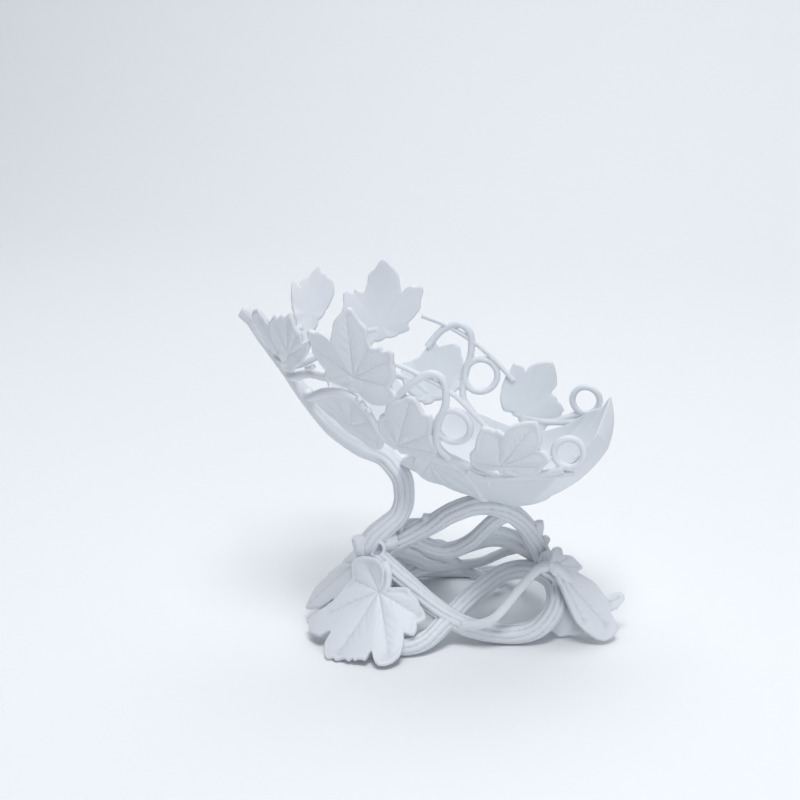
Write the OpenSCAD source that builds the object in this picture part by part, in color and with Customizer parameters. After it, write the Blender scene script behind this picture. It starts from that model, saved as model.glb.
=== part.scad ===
// Wine bottle holder in one piece: an openwork cradle of grape leaves and tendrils
// on a stand of twisted vines, whose feet are more leaves.
// +Z is up, X runs along the bottle (its mouth at -X), and the nearer side is -Y.

/* [Bottle] */
// Diameter of the bottle's body
bottle_d = 75; // [70:0.5:80]
// Free space round the bottle's body
bottle_gap = 1; // [0.5:0.25:2]
// Radius of the rounded edge of the bottle's base
base_round = 10; // [6:0.5:12]
// Slope of the bottle above level, in degrees
tilt = 31; // [27:0.5:35]

/* [Cradle] */
// Length of the cradle along the bottle
cradle_l = 190; // [175:1:205]
// How far the cradle's middle hangs below its ends
belly = 26; // [20:1:30]
// Space between the bottle's seat and the middle of the side leaves
side_gap = 5.5; // [4.5:0.25:7]
// Space between the bottle's seat and the middle of the lowest leaves
floor_gap = 4.5; // [3.5:0.25:6]
// Thickness of the closed cup's wall
cup_wall = 3.5; // [2.5:0.25:5]
// Length of the closed cup along the bottle
cup_l = 79; // [70:1:86]
// How far the cup's end bulges past the bottle's base
cup_bulge = 9; // [7:0.5:12]
// Height of the cup's end wall above the bottle's axis
cup_end_h = 16; // [10:1:24]

/* [Vines] */
// Diameter of the main vine
vine_d = 12; // [10:0.5:14]
// Diameter of the loop and arch vines of the stand
arch_d = 10.5; // [9:0.5:12]
// Diameter of the thinner side branches
branch_d = 7.5; // [6.5:0.5:9]
// Diameter of the curling tendrils
tendril_d = 3.6; // [3:0.2:4.4]
// Diameter of the rim wires
wire_d = 2.8; // [2.4:0.2:3.6]
// Depth of the grooves along a vine, as a share of its radius
groove = 0.16; // [0.05:0.01:0.22]
// Twist of the grooves, in degrees per ring of the sweep
vine_twist = 5; // [0:1:9]
// Diameter of a tendril's ring, at the middle of its wire
ring_d = 17.4; // [15:0.2:19]

/* [Leaves] */
// Thickness of a leaf
leaf_t = 2.6; // [2:0.1:3.4]
// Depth of the veins pressed into a leaf
vein_depth = 0.7; // [0.2:0.1:1]
// Size of every leaf, as a share of its own length
leaf_share = 1; // [0.9:0.02:1.08]

/* [Stand] */
// Height of the cup's underside above the floor
stand_h = 83; // [74:1:92]
// Length of the stand's footprint
stand_l = 182; // [170:1:196]
// Width of the stand's footprint
stand_w = 140; // [128:1:150]

/* [Hidden] */

// Where the cup's underside meets the stand, along the bottle and along the floor
rest_u = 38;
rest_x = 6;
// Middle of the whole part's footprint, among the hand-placed points
middle = [-15.62, 5.28];
// Sizes at which the hand-placed points of the cradle and the stand were chosen
drawn = [182, 140, 83];
drawn_cradle_l = 190;
// Points along a vine between two of its hand-placed points, and corners round it
vine_steps = 2;
vine_sides = 10;
thin_sides = 6;
wire_sides = 5;
// Points round a tendril's ring
ring_points = 14;
// Reach of the cutting blocks past the part
past = 300;

seat_r = bottle_d / 2 + bottle_gap;
side_w = seat_r + side_gap;
floor_d = seat_r + floor_gap;

along = [-cos(tilt), 0, sin(tilt)];
down = [-sin(tilt), 0, -cos(tilt)];
near = [0, -1, 0];

// Depth of the cradle below the bottle's axis, at a distance u from the bottle's base
function depth(u) =
    let (share = min(max(u / cradle_l, 0), 1))
    floor_d + belly * pow(max(sin(180 * share), 0), 0.8);

// Middle of the bottle's base, so that the cup's underside stands at stand_h
base_at = [
    rest_x + rest_u * cos(tilt) + depth(rest_u) * sin(tilt),
    0,
    stand_h + depth(rest_u) * cos(tilt) - rest_u * sin(tilt)
];

// Radius of the cradle at distance u and angle a, with a = 0 straight down, 90 the nearer side
function cradle_r(u, a) =
    1 / sqrt(pow(cos(a) / depth(u), 2) + pow(sin(a) / side_w, 2));

function place(u, a, r) = base_at + u * along + r * (cos(a) * down + sin(a) * near);

// Point on the cradle, or out mm outside it, with u as drawn and stretched with the cradle
function on_cradle(u, a, out = 0) =
    let (v = u * cradle_l / drawn_cradle_l)
    place(v, a, cradle_r(v, a) + out);

// Point of the stand, as drawn and stretched with the stand
function on_stand(p) = [
    p[0] * stand_l / drawn[0],
    p[1] * stand_w / drawn[1],
    p[2] * stand_h / drawn[2]
];

function unit(v) = v / norm(v);
function last(list) = list[len(list) - 1];

// Smooth curve through the points, each an [x, y, z, radius]
function blend(a, b, c, d, t) =
    0.5 * (2 * b + (c - a) * t + (2 * a - 5 * b + 4 * c - d) * t * t
        + (3 * b - a - 3 * c + d) * t * t * t);
function smooth(p, steps) =
    let (n = len(p) - 1)
    concat(
        [for (i = [0 : n - 1], k = [0 : steps - 1])
            blend(p[max(i - 1, 0)], p[i], p[i + 1], p[min(i + 2, n)], k / steps)],
        [p[n]]
    );

function spot(q) = [q[0], q[1], q[2]];

function headings(path) =
    [for (i = [0 : len(path) - 1])
        unit(spot(path[min(i + 1, len(path) - 1)]) - spot(path[max(i - 1, 0)]))];

// Side direction of each ring, carried along the curve without turning about it
function sides_of(dirs) =
    let (first = abs(dirs[0][2]) < 0.9 ? [0, 0, 1] : [1, 0, 0])
    [for (
        i = 0, v = unit(cross(dirs[0], first));
        i < len(dirs);
        i = i + 1, v = i < len(dirs) ? unit(v - (v * dirs[i]) * dirs[i]) : v
    ) v];

// Tube along a path of [x, y, z, radius]; every second corner lies in a groove
module sweep(path, corners, depth_share, twist) {
    dirs = headings(path);
    sides = sides_of(dirs);
    n = len(path);
    rings = [for (i = [0 : n - 1], k = [0 : corners - 1])
        let (
            turn = 360 * k / corners + twist * i,
            r = path[i][3] * (k % 2 == 0 ? 1 : 1 - depth_share),
            up = cross(dirs[i], sides[i])
        )
        spot(path[i]) + r * (cos(turn) * sides[i] + sin(turn) * up)];
    start = len(rings);
    faces = concat(
        [for (i = [0 : n - 2], k = [0 : corners - 1])
            let (a = i * corners + k, b = i * corners + (k + 1) % corners)
            [a, a + corners, b]],
        [for (i = [0 : n - 2], k = [0 : corners - 1])
            let (a = i * corners + k, b = i * corners + (k + 1) % corners)
            [b, a + corners, b + corners]],
        [for (k = [0 : corners - 1]) [start, k, (k + 1) % corners]],
        [for (k = [0 : corners - 1])
            [start + 1, (n - 1) * corners + (k + 1) % corners, (n - 1) * corners + k]]
    );
    polyhedron(concat(rings, [spot(path[0]), spot(path[n - 1])]), faces);
}

module vine(points, steps = vine_steps, sides = vine_sides) {
    sweep(smooth(points, steps), sides, groove, vine_twist);
}

module wire(points, steps = 1) {
    sweep(smooth(points, steps), wire_sides, 0, 0);
}

// Leaf shapes: the outline as [angle from the tip, share of the leaf's length] round the point
// where the veins meet, and the directions of the veins among those angles
plain_leaf = [
    [[0, 1.00], [9, 0.86], [17, 0.80], [29, 0.56], [38, 0.70], [47, 0.76], [57, 0.92],
     [66, 0.77], [74, 0.72], [84, 0.55], [94, 0.66], [105, 0.68], [118, 0.79], [127, 0.67],
     [138, 0.64], [153, 0.48], [168, 0.22], [192, 0.22], [207, 0.48], [222, 0.64],
     [233, 0.67], [242, 0.79], [255, 0.68], [266, 0.66], [276, 0.55], [286, 0.72],
     [294, 0.77], [303, 0.92], [313, 0.76], [322, 0.70], [331, 0.56], [343, 0.80], [351, 0.86]],
    [0, 57, 118, 242, 303]
];
fan_leaf = [
    [[0, 1.30], [7, 1.20], [14, 1.13], [19, 1.06], [24, 0.78], [45, 0.23], [100, 0.16],
     [174, 0.12], [250, 0.16], [299, 0.26], [315, 0.48], [322, 0.66], [330, 0.98],
     [334, 1.00], [339, 0.89], [345, 1.00], [352, 1.12], [356, 1.20]],
    [0, 330]
];
large_leaf = [
    [[0, 1.08], [14, 0.88], [26, 0.63], [32, 0.82], [40, 0.92], [51, 0.76], [61, 0.68],
     [79, 0.42], [92, 0.45], [109, 0.31], [150, 0.20], [197, 0.24], [216, 0.47],
     [229, 0.56], [253, 0.68], [261, 0.56], [274, 0.62], [294, 0.67], [305, 0.78],
     [314, 0.67], [320, 0.71], [329, 0.59], [342, 0.84], [350, 0.91]],
    [0, 51, 253, 305, 329]
];
middle_leaf = [
    [[0, 1.14], [7, 1.13], [12, 1.01], [29, 0.84], [36, 0.65], [48, 0.61], [61, 0.46],
     [74, 0.31], [86, 0.17], [192, 0.11], [249, 0.22], [265, 0.39], [284, 0.62],
     [297, 0.74], [310, 0.70], [322, 0.72], [333, 0.88], [341, 1.02], [347, 0.95],
     [352, 1.00], [356, 1.08]],
    [0, 48, 297, 322]
];
low_leaf = [
    [[0, 1.00], [9, 0.89], [18, 0.77], [21, 0.61], [33, 0.68], [42, 0.71], [52, 0.75],
     [72, 0.57], [82, 0.51], [97, 0.53], [121, 0.49], [137, 0.36], [150, 0.17],
     [178, 0.10], [237, 0.17], [240, 0.29], [282, 0.51], [310, 0.76], [316, 0.88],
     [327, 0.83], [332, 0.73], [335, 0.84], [342, 0.93], [353, 1.05]],
    [0, 33, 121, 310, 332]
];
front_leaf = [
    [[6, 0.80], [9, 0.92], [16, 1.00], [22, 0.97], [30, 0.88], [40, 0.60], [47, 0.70],
     [53, 0.72], [59, 0.65], [70, 0.67], [78, 0.58], [98, 0.39], [113, 0.26], [140, 0.26],
     [165, 0.36], [186, 0.40], [208, 0.42], [231, 0.45], [250, 0.42], [270, 0.49],
     [280, 0.56], [287, 0.66], [292, 0.79], [304, 0.74], [311, 0.72], [315, 0.91],
     [322, 0.97], [331, 1.07], [340, 1.02], [353, 0.92]],
    [22, 70, 250, 304, 340]
];
hanging_leaf = [
    [[0, 0.98], [4, 0.96], [9, 0.78], [13, 0.82], [17, 0.89], [20, 0.84], [24, 0.56],
     [29, 0.60], [36, 0.55], [41, 0.36], [47, 0.45], [57, 0.43], [64, 0.27], [74, 0.33],
     [86, 0.31], [98, 0.20], [130, 0.13], [170, 0.10], [220, 0.09], [275, 0.12],
     [308, 0.18], [326, 0.34], [333, 0.46], [338, 0.60], [345, 0.75], [352, 0.88],
     [357, 0.95]],
    [4, 29, 57, 345]
];
// Every third point of the outline has a point of the leaf's flesh inside it
flesh_step = 3;
flesh_share = 0.55;

// Grape leaf: put(x, y, h) gives the place of a point x toward the tip, y to its left and
// h above the leaf's middle surface; puff lifts the flesh between the veins
module leaf(put, size, shape, wide = 1, puff = 0.6) {
    outline = shape[0];
    veins = shape[1];
    n = len(outline);
    m = n / flesh_step;
    s = size * leaf_share;
    function point(k, share, h) =
        let (a = outline[k][0], r = s * outline[k][1] * share)
        put(r * cos(a), r * sin(a) * wide, h);
    function in_vein(k) = len([for (v = veins) if (v == outline[k][0]) v]) > 0;
    function flesh(k) = leaf_t / 2 + (in_vein(k) ? -vein_depth : puff);
    points = concat(
        [put(0, 0, leaf_t / 2 - vein_depth), put(0, 0, -leaf_t / 2)],
        [for (i = [0 : m - 1]) point(i * flesh_step, flesh_share, flesh(i * flesh_step))],
        [for (i = [0 : m - 1]) point(i * flesh_step, flesh_share, -leaf_t / 2)],
        [for (k = [0 : n - 1]) point(k, 1, leaf_t / 2)],
        [for (k = [0 : n - 1]) point(k, 1, -leaf_t / 2)]
    );
    // First points of the upper and lower flesh rings and of the upper and lower rims
    up = 2;
    low = 2 + m;
    rim = 2 + 2 * m;
    under = 2 + 2 * m + n;
    faces = concat(
        [for (i = [0 : m - 1]) [0, up + (i + 1) % m, up + i]],
        [for (i = [0 : m - 1]) [1, low + i, low + (i + 1) % m]],
        [for (i = [0 : m - 1]) each fan(up + i, up + (i + 1) % m, rim, i, n, true)],
        [for (i = [0 : m - 1]) each fan(low + i, low + (i + 1) % m, under, i, n, false)],
        [for (k = [0 : n - 1]) [rim + k, rim + (k + 1) % n, under + k]],
        [for (k = [0 : n - 1]) [rim + (k + 1) % n, under + (k + 1) % n, under + k]]
    );
    polyhedron(points, faces);
}

// Triangles between two neighbouring flesh points and the stretch of rim outside them
function fan(p, q, rim, i, n, upper) =
    let (
        k = i * flesh_step,
        r = [for (j = [-1 : 2]) rim + (k + j + n) % n],
        list = [[p, r[1], r[0]], [p, r[2], r[1]], [p, q, r[2]], [q, r[3], r[2]]]
    )
    [for (f = list) upper ? f : [f[0], f[2], f[1]]];

// Leaf lying on the cradle: its veins meet at (u, a), its tip points at heading, where
// 0 is along the bottle and 90 is up the side; flare lifts its rim off the cradle
module cradle_leaf(shape, u, a, heading, size, out = 0, wide = 1, flare = 0) {
    side = a < 0 ? -1 : 1;
    r = cradle_r(u, a);
    c = cos(heading);
    s = sin(heading);
    put = function (x, y, h)
        let (
            du = x * c + side * y * s,
            up = x * s - side * y * c
        )
        on_cradle(u + du, a + side * up / r * 180 / PI, out + h + flare * (x * x + y * y) / size);
    leaf(put, size, shape, wide);
}

// Leaf on the stand: centre, direction of its tip and of its upper face, how much it droops
// toward its tip and curls up behind its stalk, and the radius of its bend across
module foot_leaf(shape, at, tip, face, size, droop = 0.004, bell = 60, wide = 1, curl = 0) {
    e3 = unit(face);
    e2 = unit(cross(e3, tip));
    e1 = cross(e2, e3);
    centre = on_stand(at);
    put = function (x, y, h)
        let (
            turn = y / bell * 180 / PI,
            front = max(x, 0),
            back = min(x, 0),
            lift = (bell + h) * cos(turn) - bell - droop * front * front + curl * back * back
        )
        centre + x * e1 + (bell + h) * sin(turn) * e2 + lift * e3;
    leaf(put, size, shape, wide, 0.8);
}

// Vine on the cradle through points of [u, a, out], with one radius or one for each point
function cradle_path(list, r) =
    [for (i = [0 : len(list) - 1])
        concat(on_cradle(list[i][0], list[i][1], list[i][2]), is_list(r) ? r[i] : r)];
function stand_path(list, r) =
    [for (i = [0 : len(list) - 1]) concat(on_stand(list[i]), is_list(r) ? r[i] : r)];

// Ring of wire that lies on the cradle
module tendril_ring(u, a, out, d = ring_d) {
    n = ring_points;
    r = cradle_r(u, a);
    function at(t, lift) =
        on_cradle(u + d / 2 * cos(t), a + d / 2 * sin(t) / r * 180 / PI, out + lift);
    points = [for (i = [0 : n - 1], k = [0 : wire_sides - 1])
        let (
            t = 360 * i / n,
            outward = unit(at(t, 1) - at(t, 0)),
            ahead = unit(at(t + 5, 0) - at(t - 5, 0)),
            turn = 360 * k / wire_sides
        )
        at(t, 0) + tendril_d / 2 * (cos(turn) * outward + sin(turn) * cross(ahead, outward))];
    w = wire_sides;
    faces = [for (i = [0 : n - 1], k = [0 : w - 1], half = [0, 1])
        let (p = i * w + k, q = i * w + (k + 1) % w, next = (i + 1) % n * w)
        half == 0 ? [p, next + k, q] : [q, next + k, next + (k + 1) % w]];
    polyhedron(points, faces);
}

// Small nub where a side shoot was cut off a vine or a leaf
module nub(q, toward, r = 1.3, tall = 2.6) {
    hull() {
        translate(q) sphere(r = r, $fn = 4);
        translate(q + tall * unit(toward)) sphere(r = 0.75 * r, $fn = 4);
    }
}

// Radius of the bottle's space at distance u from its base, inside its rounded edge
function space_r(u) =
    let (d = max(base_round - u, 0))
    seat_r - base_round + sqrt(base_round * base_round - d * d);

// Dished end of the cup, behind the bottle's base
module cup_end() {
    rim_u = cup_rows[0][0];
    rim_r = space_r(rim_u) + 0.6 * cup_wall;
    dish_r = (rim_r * rim_r + pow(cup_bulge + rim_u, 2)) / (2 * (cup_bulge + rim_u));
    edge = asin(rim_r / dish_r);
    hollow = cup_bulge - cup_wall;
    steps = 4;
    translate(base_at)
        rotate([0, tilt - 90, 0])
            difference() {
                rotate_extrude($fn = 28)
                    polygon(concat(
                        [for (k = [0 : steps])
                            let (t = edge * k / steps)
                            [dish_r * sin(t), dish_r - cup_bulge - dish_r * cos(t)]],
                        [for (k = [steps : -1 : 0])
                            let (r = space_r(rim_u) * k / steps)
                            [r, -hollow + hollow * pow(r / (seat_r - base_round), 2)]]
                    ));
                translate([cup_end_h + past / 2, 0, 0]) cube(past, center = true);
            }
}

// Rows of the cup's wall: [u, angle of its rim], from the end to its mouth
cup_rows = [
    [3, 98], [7, 88], [13, 70], [22, 57], [34, 49], [48, 46], [60, 44], [70, 38], [76, 29],
    [79, 15]
];
cup_columns = 11;

// Wall of the cup, from its dished end to its mouth under the leaves
module cup_side() {
    n = len(cup_rows);
    m = cup_columns;
    first_u = cup_rows[0][0];
    function u_of(i) = i == 0 ? first_u : cup_rows[i][0] * cup_l / last(cup_rows)[0];
    function r_of(u, a) = min(cradle_r(u, a), space_r(u) + cup_wall / 2 + 0.8 * (u - first_u));
    function wall_at(i, j, side) =
        let (u = u_of(i), a = cup_rows[i][1] * (2 * j / m - 1))
        place(u, a, r_of(u, a) + side * cup_wall / 2);
    points = [for (side = [1, -1], i = [0 : n - 1], j = [0 : m]) wall_at(i, j, side)];
    w = m + 1;
    back = n * w;
    end = (n - 1) * w;
    function square(p, q, r, s) = [[p, q, r], [p, r, s]];
    faces = concat(
        [for (i = [0 : n - 2], j = [0 : m - 1])
            let (p = i * w + j) each square(p, p + w, p + w + 1, p + 1)],
        [for (i = [0 : n - 2], j = [0 : m - 1])
            let (p = back + i * w + j) each square(p, p + 1, p + w + 1, p + w)],
        [for (i = [0 : n - 2])
            let (p = i * w) each square(p, p + back, p + w + back, p + w)],
        [for (i = [0 : n - 2])
            let (p = i * w + m) each square(p, p + w, p + w + back, p + back)],
        [for (j = [0 : m - 1]) each square(j, j + 1, j + 1 + back, j + back)],
        [for (j = [0 : m - 1])
            let (p = end + j) each square(p, p + back, p + 1 + back, p + 1)]
    );
    polyhedron(points, faces);
}

// Main vine: sawn stub, keel under the cradle, leg and knot
module main_vine() {
    r = vine_d / 2;
    vine(concat(
        cradle_path(
            [[194, 8, 3], [190, 8, 3], [178, 7, 3], [159, 5, 3], [139, 4, 5], [119, 3, 8],
             [101, 2, 7], [88, 0, 5]],
            [0.68 * r, 0.62 * r, 0.5 * r, 0.6 * r, 0.8 * r, r, r, r]
        ),
        stand_path(
            [[-34.2, -3, 87.4], [-31.6, -6, 80], [-31.4, -9, 73], [-34.2, -12, 66.6],
             [-40.5, -15, 61], [-47, -18, 55], [-50, -20, 48], [-49, -20, 41], [-46, -18, 33]],
            [r, r, 0.95 * r, 0.95 * r, r, 1.05 * r, 1.05 * r, r, 0.75 * r]
        )
    ));
}

// The nearer side of the cradle: five leaves, their stalks, an arching tendril and two rings
module near_side() {
    r = branch_d / 2;
    // Stalks of the first two leaves, and the curved vine below them
    wire(cradle_path([[172, 6, 2], [166, 14, 1], [158, 28, 0.4]], [0.6 * r, 0.55 * r, 0.45 * r]));
    wire(cradle_path([[156, 5, 2], [150, 24, 1], [144, 36, 0.5], [134, 44, 1], [124, 54, 0.5]],
        [0.8 * r, 0.75 * r, 0.65 * r, 0.55 * r, 0.45 * r]));
    wire(cradle_path([[142, 2, 3], [138, 17, 2], [132, 34, 2], [120, 44, 2], [107, 41, 2],
        [95, 33, 2.5], [86, 31, 2]],
        [0.7 * r, 0.7 * r, 0.65 * r, 0.6 * r, 0.55 * r, 0.5 * r, 0.4 * r]));
    cradle_leaf(fan_leaf, 158, 28, 74, 30, 0.6);
    cradle_leaf(large_leaf, 123, 55.5, 58, 37, 0.4, 1, 0.05);
    cradle_leaf(plain_leaf, 101, 22, 12, 38, 0, 0.85);
    cradle_leaf(middle_leaf, 84.8, 33, 81.6, 32, 1.5);
    cradle_leaf(low_leaf, 34.7, 59.4, 89, 32, 0.6, 1, 0.05);
    // Tendril that arches over the rim and down beside its ring
    wire(cradle_path([[99, 59, 0.5], [96, 74, 1], [91, 87, 0], [83, 88, 0], [76, 76, 0.5],
        [73, 60, 1], [67, 48, 1.5], [58, 44, 1]], tendril_d / 2), 2);
    tendril_ring(66, 65, 0.5);
    wire(cradle_path([[110, 79, 0], [96, 82, 0], [77, 84, 0], [61, 80, 0], [47, 75, 0]],
        wire_d / 2));
    // Small ring at the cup's end, with its tail along the cup
    tendril_ring(10, 94, 0, ring_d * 0.85);
    wire(cradle_path([[2, 84, -1], [9, 75, 0.5], [19, 65, 1], [31, 58, 1]], tendril_d / 2));
    wire(cradle_path([[37, 52, 2], [35, 39, 2], [26, 20, 2], [22, 5, 1]], 0.42 * r));
}

// The farther side, with the same growth in a slightly different order
module far_side() {
    r = branch_d / 2;
    wire(cradle_path([[178, 5, 2], [173, -12, 1], [166, -27, 0.4]], [0.6 * r, 0.55 * r, 0.45 * r]));
    wire(cradle_path([[160, 3, 2], [150, -22, 1], [141, -42, 1], [131, -54, 0.5]],
        [0.8 * r, 0.75 * r, 0.6 * r, 0.45 * r]));
    wire(cradle_path([[128, -2, 4], [122, -22, 2], [112, -37, 2], [99, -41, 2], [88, -40, 1.5]],
        [0.7 * r, 0.65 * r, 0.6 * r, 0.55 * r, 0.45 * r]));
    cradle_leaf(fan_leaf, 166, -27, 72, 30, 0.6);
    cradle_leaf(large_leaf, 130, -57, 62, 36, 0.4, 1, 0.05);
    cradle_leaf(plain_leaf, 105, -20, 8, 34, -1, 0.8);
    cradle_leaf(middle_leaf, 87, -38, 84, 31, 1.5);
    cradle_leaf(low_leaf, 38, -60, 92, 32, 0.6, 1, 0.05);
    wire(cradle_path([[102, -62, 1], [100, -77, 1], [94, -88, 0], [86, -87, 0], [80, -76, 0.5],
        [76, -62, 1], [70, -49, 1.5], [60, -44, 1]], tendril_d / 2), 2);
    tendril_ring(68, -66, 0.5);
    wire(cradle_path([[114, -78, 0], [100, -82, 0], [82, -83, 0], [66, -80, 0], [51, -75, 0]],
        wire_d / 2));
    tendril_ring(12, -93, 0, ring_d * 0.85);
    wire(cradle_path([[2, -84, -1], [11, -74, 0.5], [23, -64, 1], [36, -58, 1]], tendril_d / 2));
    wire(cradle_path([[42, -52, 2], [38, -38, 2], [28, -20, 2], [22, -4, 1]], 0.42 * r));
}

// Vines of the stand
module stand_vines() {
    r = arch_d / 2;
    b = branch_d / 2;
    t = tendril_d / 2;
    // Loop that comes down from the knot, turns over on itself and runs to the front foot
    vine(stand_path([[-46, -18, 47], [-29, -22, 35], [-10, -25, 21], [8, -22, 10],
        [28, -17, 5.8], [44, -13, 8.5], [53, -5, 19], [49.5, 6, 29], [37, 11, 32.5],
        [23, 10, 30], [10, 3, 22], [-1, -20, 16], [-12, -37, 7.5], [-24, -44, 5.6],
        [-36, -42, 8]], r));
    // Arch that carries the cup
    vine(stand_path([[-49, -17, 42], [-42, -11, 46], [-25, -6, 56.5], [-4.7, -4, 69],
        [9, -3.5, 74.5], [21.3, -2, 73], [31.4, 3, 65], [37.5, 9, 53.2], [42.7, 13, 39.8],
        [49, 15, 22], [57, 14, -1]],
        [r, r, r, 1.05 * r, 1.05 * r, 1.05 * r, r, r, r, 0.9 * r, 0.8 * r]));
    // Branch below the arch that leaves an eye between them
    vine(stand_path([[-46, -14, 38], [-34, -5, 49], [-27.6, -2, 50], [-12.4, 3, 42.6],
        [-3.7, 5, 44], [4.6, 5, 49.6], [18.5, 0, 65], [25, -1, 69.5]], 0.85 * r));
    // Branches behind, which cross below the eye
    vine(stand_path([[-36, 14, 40.5], [-22, 22, 31.4], [-5.2, 30, 21.9], [14, 50, 5]],
        [0.7 * b, 0.8 * b, 0.9 * b, 0.9 * b]), sides = thin_sides);
    vine(stand_path([[-44, -4, 34], [-30, 16, 23], [-14, 28, 28], [1.7, 26, 38.6],
        [21.2, 22, 43.4], [43, 13, 36]], b), sides = thin_sides);
    vine(stand_path([[-46, -6, 40], [-31, 12, 33], [-8, 28, 24], [13, 32, 29.7], [28, 28, 38]],
        [1.2 * b, 1.1 * b, 0.8 * b, 0.75 * b, 0.75 * b]), sides = thin_sides);
    // Rear loop that rests on the floor
    vine(stand_path([[-44, 0, 36], [-44, 24, 22], [-36, 50, 8], [-18, 64, 4], [6, 65, 5],
        [28, 51, 13], [44, 30, 24], [48, 16, 34]], 1.1 * b), sides = thin_sides);
    // Short strands from the eye's branch to the arch, and from the leg to the arch
    wire(stand_path([[11, 6, 57], [21.3, 14, 52.5], [38, 14, 43]], 0.8 * b));
    wire(stand_path([[-35, -9, 60], [-31, 1, 57.5], [-24, 5, 57], [-14, 3, 60]], 0.9 * b));
    // Tendril across the loop, which becomes the right foot leaf's stalk
    wire(stand_path([[4, -26, 12], [15, -28, 15], [24, -27, 20], [34, -19, 32], [42, -11, 41],
        [48, -8.5, 44], [53, -8, 43], [57, -7, 38]],
        [1.4 * t, 1.4 * t, 1.4 * t, 1.4 * t, 1.45 * t, 1.6 * t, 1.7 * t, 1.6 * t]), 2);
    // Sawn stub at the knot
    wire(stand_path([[-47, -17, 48], [-54, -17, 48.5], [-59.5, -17, 54]], 0.72 * r));
}

// Nubs of cut shoots, at places on the cradle and on the arch
module nubs() {
    for (q = [[114, 43, 1], [103, 39, 2], [132, 34, 2], [47, 49, 1], [62, 45, 1], [102, -40, 2],
        [146, -32, 1], [36, -57, 1]])
        let (foot = on_cradle(q[0], q[1], q[2]), top = on_cradle(q[0], q[1], q[2] + 3))
        nub(foot, top - foot);
    for (q = [[36, 6, 59], [41, 11, 47], [-17, -6, 63]])
        nub(on_stand(q), [0.6, 0, 0.8], 2.6, 6);
}

// Leaves that the holder stands on
module foot_leaves() {
    foot_leaf(front_leaf, [-39.5, -31.7, 30], [-0.07, -0.7, -0.71], [-0.1, -0.7, 0.7], 44,
        0.002, 70, 1, 0.03);
    foot_leaf(plain_leaf, [-60, -9, 35], [-26, -9, -30], [-0.58, -0.42, 0.68], 44, 0.002, 36);
    foot_leaf(hanging_leaf, [52, -8, 44.5], [31.5, 12, -43], [0.72, -0.55, 0.42], 58,
        -0.001, 27);
    foot_leaf(plain_leaf, [50, 16, 36], [24, 12, -26], [0.6, 0.2, 0.6], 34, 0.004, 30, 0.85);
    foot_leaf(plain_leaf, [-40, 42, 20], [-14, 26, -16], [-0.35, 0.55, 0.75], 38);
}

// Closed cup round the bottle's lower end
module cup() {
    cup_end();
    cup_side();
}

module holder() {
    color("#E6E6EE")
        translate([-middle[0], -middle[1], 0])
            difference() {
                union() {
                    cup();
                    near_side();
                    far_side();
                    main_vine();
                    stand_vines();
                    foot_leaves();
                    nubs();
                }
                translate([0, 0, -past / 2]) cube(past, center = true);
            }
}

holder();
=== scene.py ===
# %% [markdown]
# # A bottle holder grown from vines and leaves
#
# One white moulded body: an openwork cradle of grape leaves and tendrils, a stand of twisted
# vines, and feet that are leaves too. The notebook grows every part along the same kind of
# curves and surfaces that the solid model uses, fuses each group into one skin, and then
# finishes, lights and frames it.

# %% Load the frame
import math

import bmesh
import bpy
import numpy as np
from mathutils import Matrix, Vector


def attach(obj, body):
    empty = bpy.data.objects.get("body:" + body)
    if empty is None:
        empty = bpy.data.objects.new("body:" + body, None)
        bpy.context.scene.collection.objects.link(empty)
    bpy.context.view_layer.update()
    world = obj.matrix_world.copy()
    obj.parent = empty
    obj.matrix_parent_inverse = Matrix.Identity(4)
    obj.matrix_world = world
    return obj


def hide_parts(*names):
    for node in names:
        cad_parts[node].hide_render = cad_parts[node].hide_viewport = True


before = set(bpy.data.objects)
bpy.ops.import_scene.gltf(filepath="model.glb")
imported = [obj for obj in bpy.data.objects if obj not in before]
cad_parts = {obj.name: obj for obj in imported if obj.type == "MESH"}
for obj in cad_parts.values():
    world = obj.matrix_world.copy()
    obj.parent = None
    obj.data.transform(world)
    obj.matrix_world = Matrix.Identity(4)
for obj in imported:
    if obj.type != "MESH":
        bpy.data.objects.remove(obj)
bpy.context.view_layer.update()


def as_list(corner):
    """A corner as three plain numbers, rounded to a hundredth of a millimetre."""
    return [round(value, 5) for value in corner]


# %% [markdown]
# ## Driving sizes
#
# Points are given in millimetres. `MIDDLE` is where the middle of the footprint lies
# among them, so taking it away and multiplying by `MM` gives metres in the shared frame. The
# cradle is a surface round a sloping axis, the seat's. Its depth below that axis swells in the
# middle like a hammock, while its width at each side stays the same.

# %% Driving sizes
MM = 0.001

# Middle of the footprint, slope of the seat, and middle of its base
MIDDLE = (-15.62, 5.28)
TILT = math.radians(31)
BASE_AT = (69.47, 0.0, 114.85)

# Length and half width of the cradle, its depth at the ends, and how its middle sags
CRADLE_L = 190.0
SIDE_W = 44.0
FLOOR_D = 43.0
BELLY = 26.0
SWELL = 0.8

# Directions along the seat, down into the cradle and toward the nearer side
ALONG = np.array([-math.cos(TILT), 0.0, math.sin(TILT)])
DOWN = np.array([-math.sin(TILT), 0.0, -math.cos(TILT)])
NEAR = np.array([0.0, -1.0, 0.0])


def depth(u):
    """Depth of the cradle below the seat's axis, u mm along it from the seat's base."""
    share = np.clip(u / CRADLE_L, 0.0, 1.0)
    return FLOOR_D + BELLY * np.sin(np.pi * share).clip(0.0) ** SWELL


def cradle_r(u, angle):
    """Radius of the cradle at u and an angle in radians, where 0 is straight down."""
    return 1.0 / np.sqrt((np.cos(angle) / depth(u)) ** 2 + (np.sin(angle) / SIDE_W) ** 2)


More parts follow.
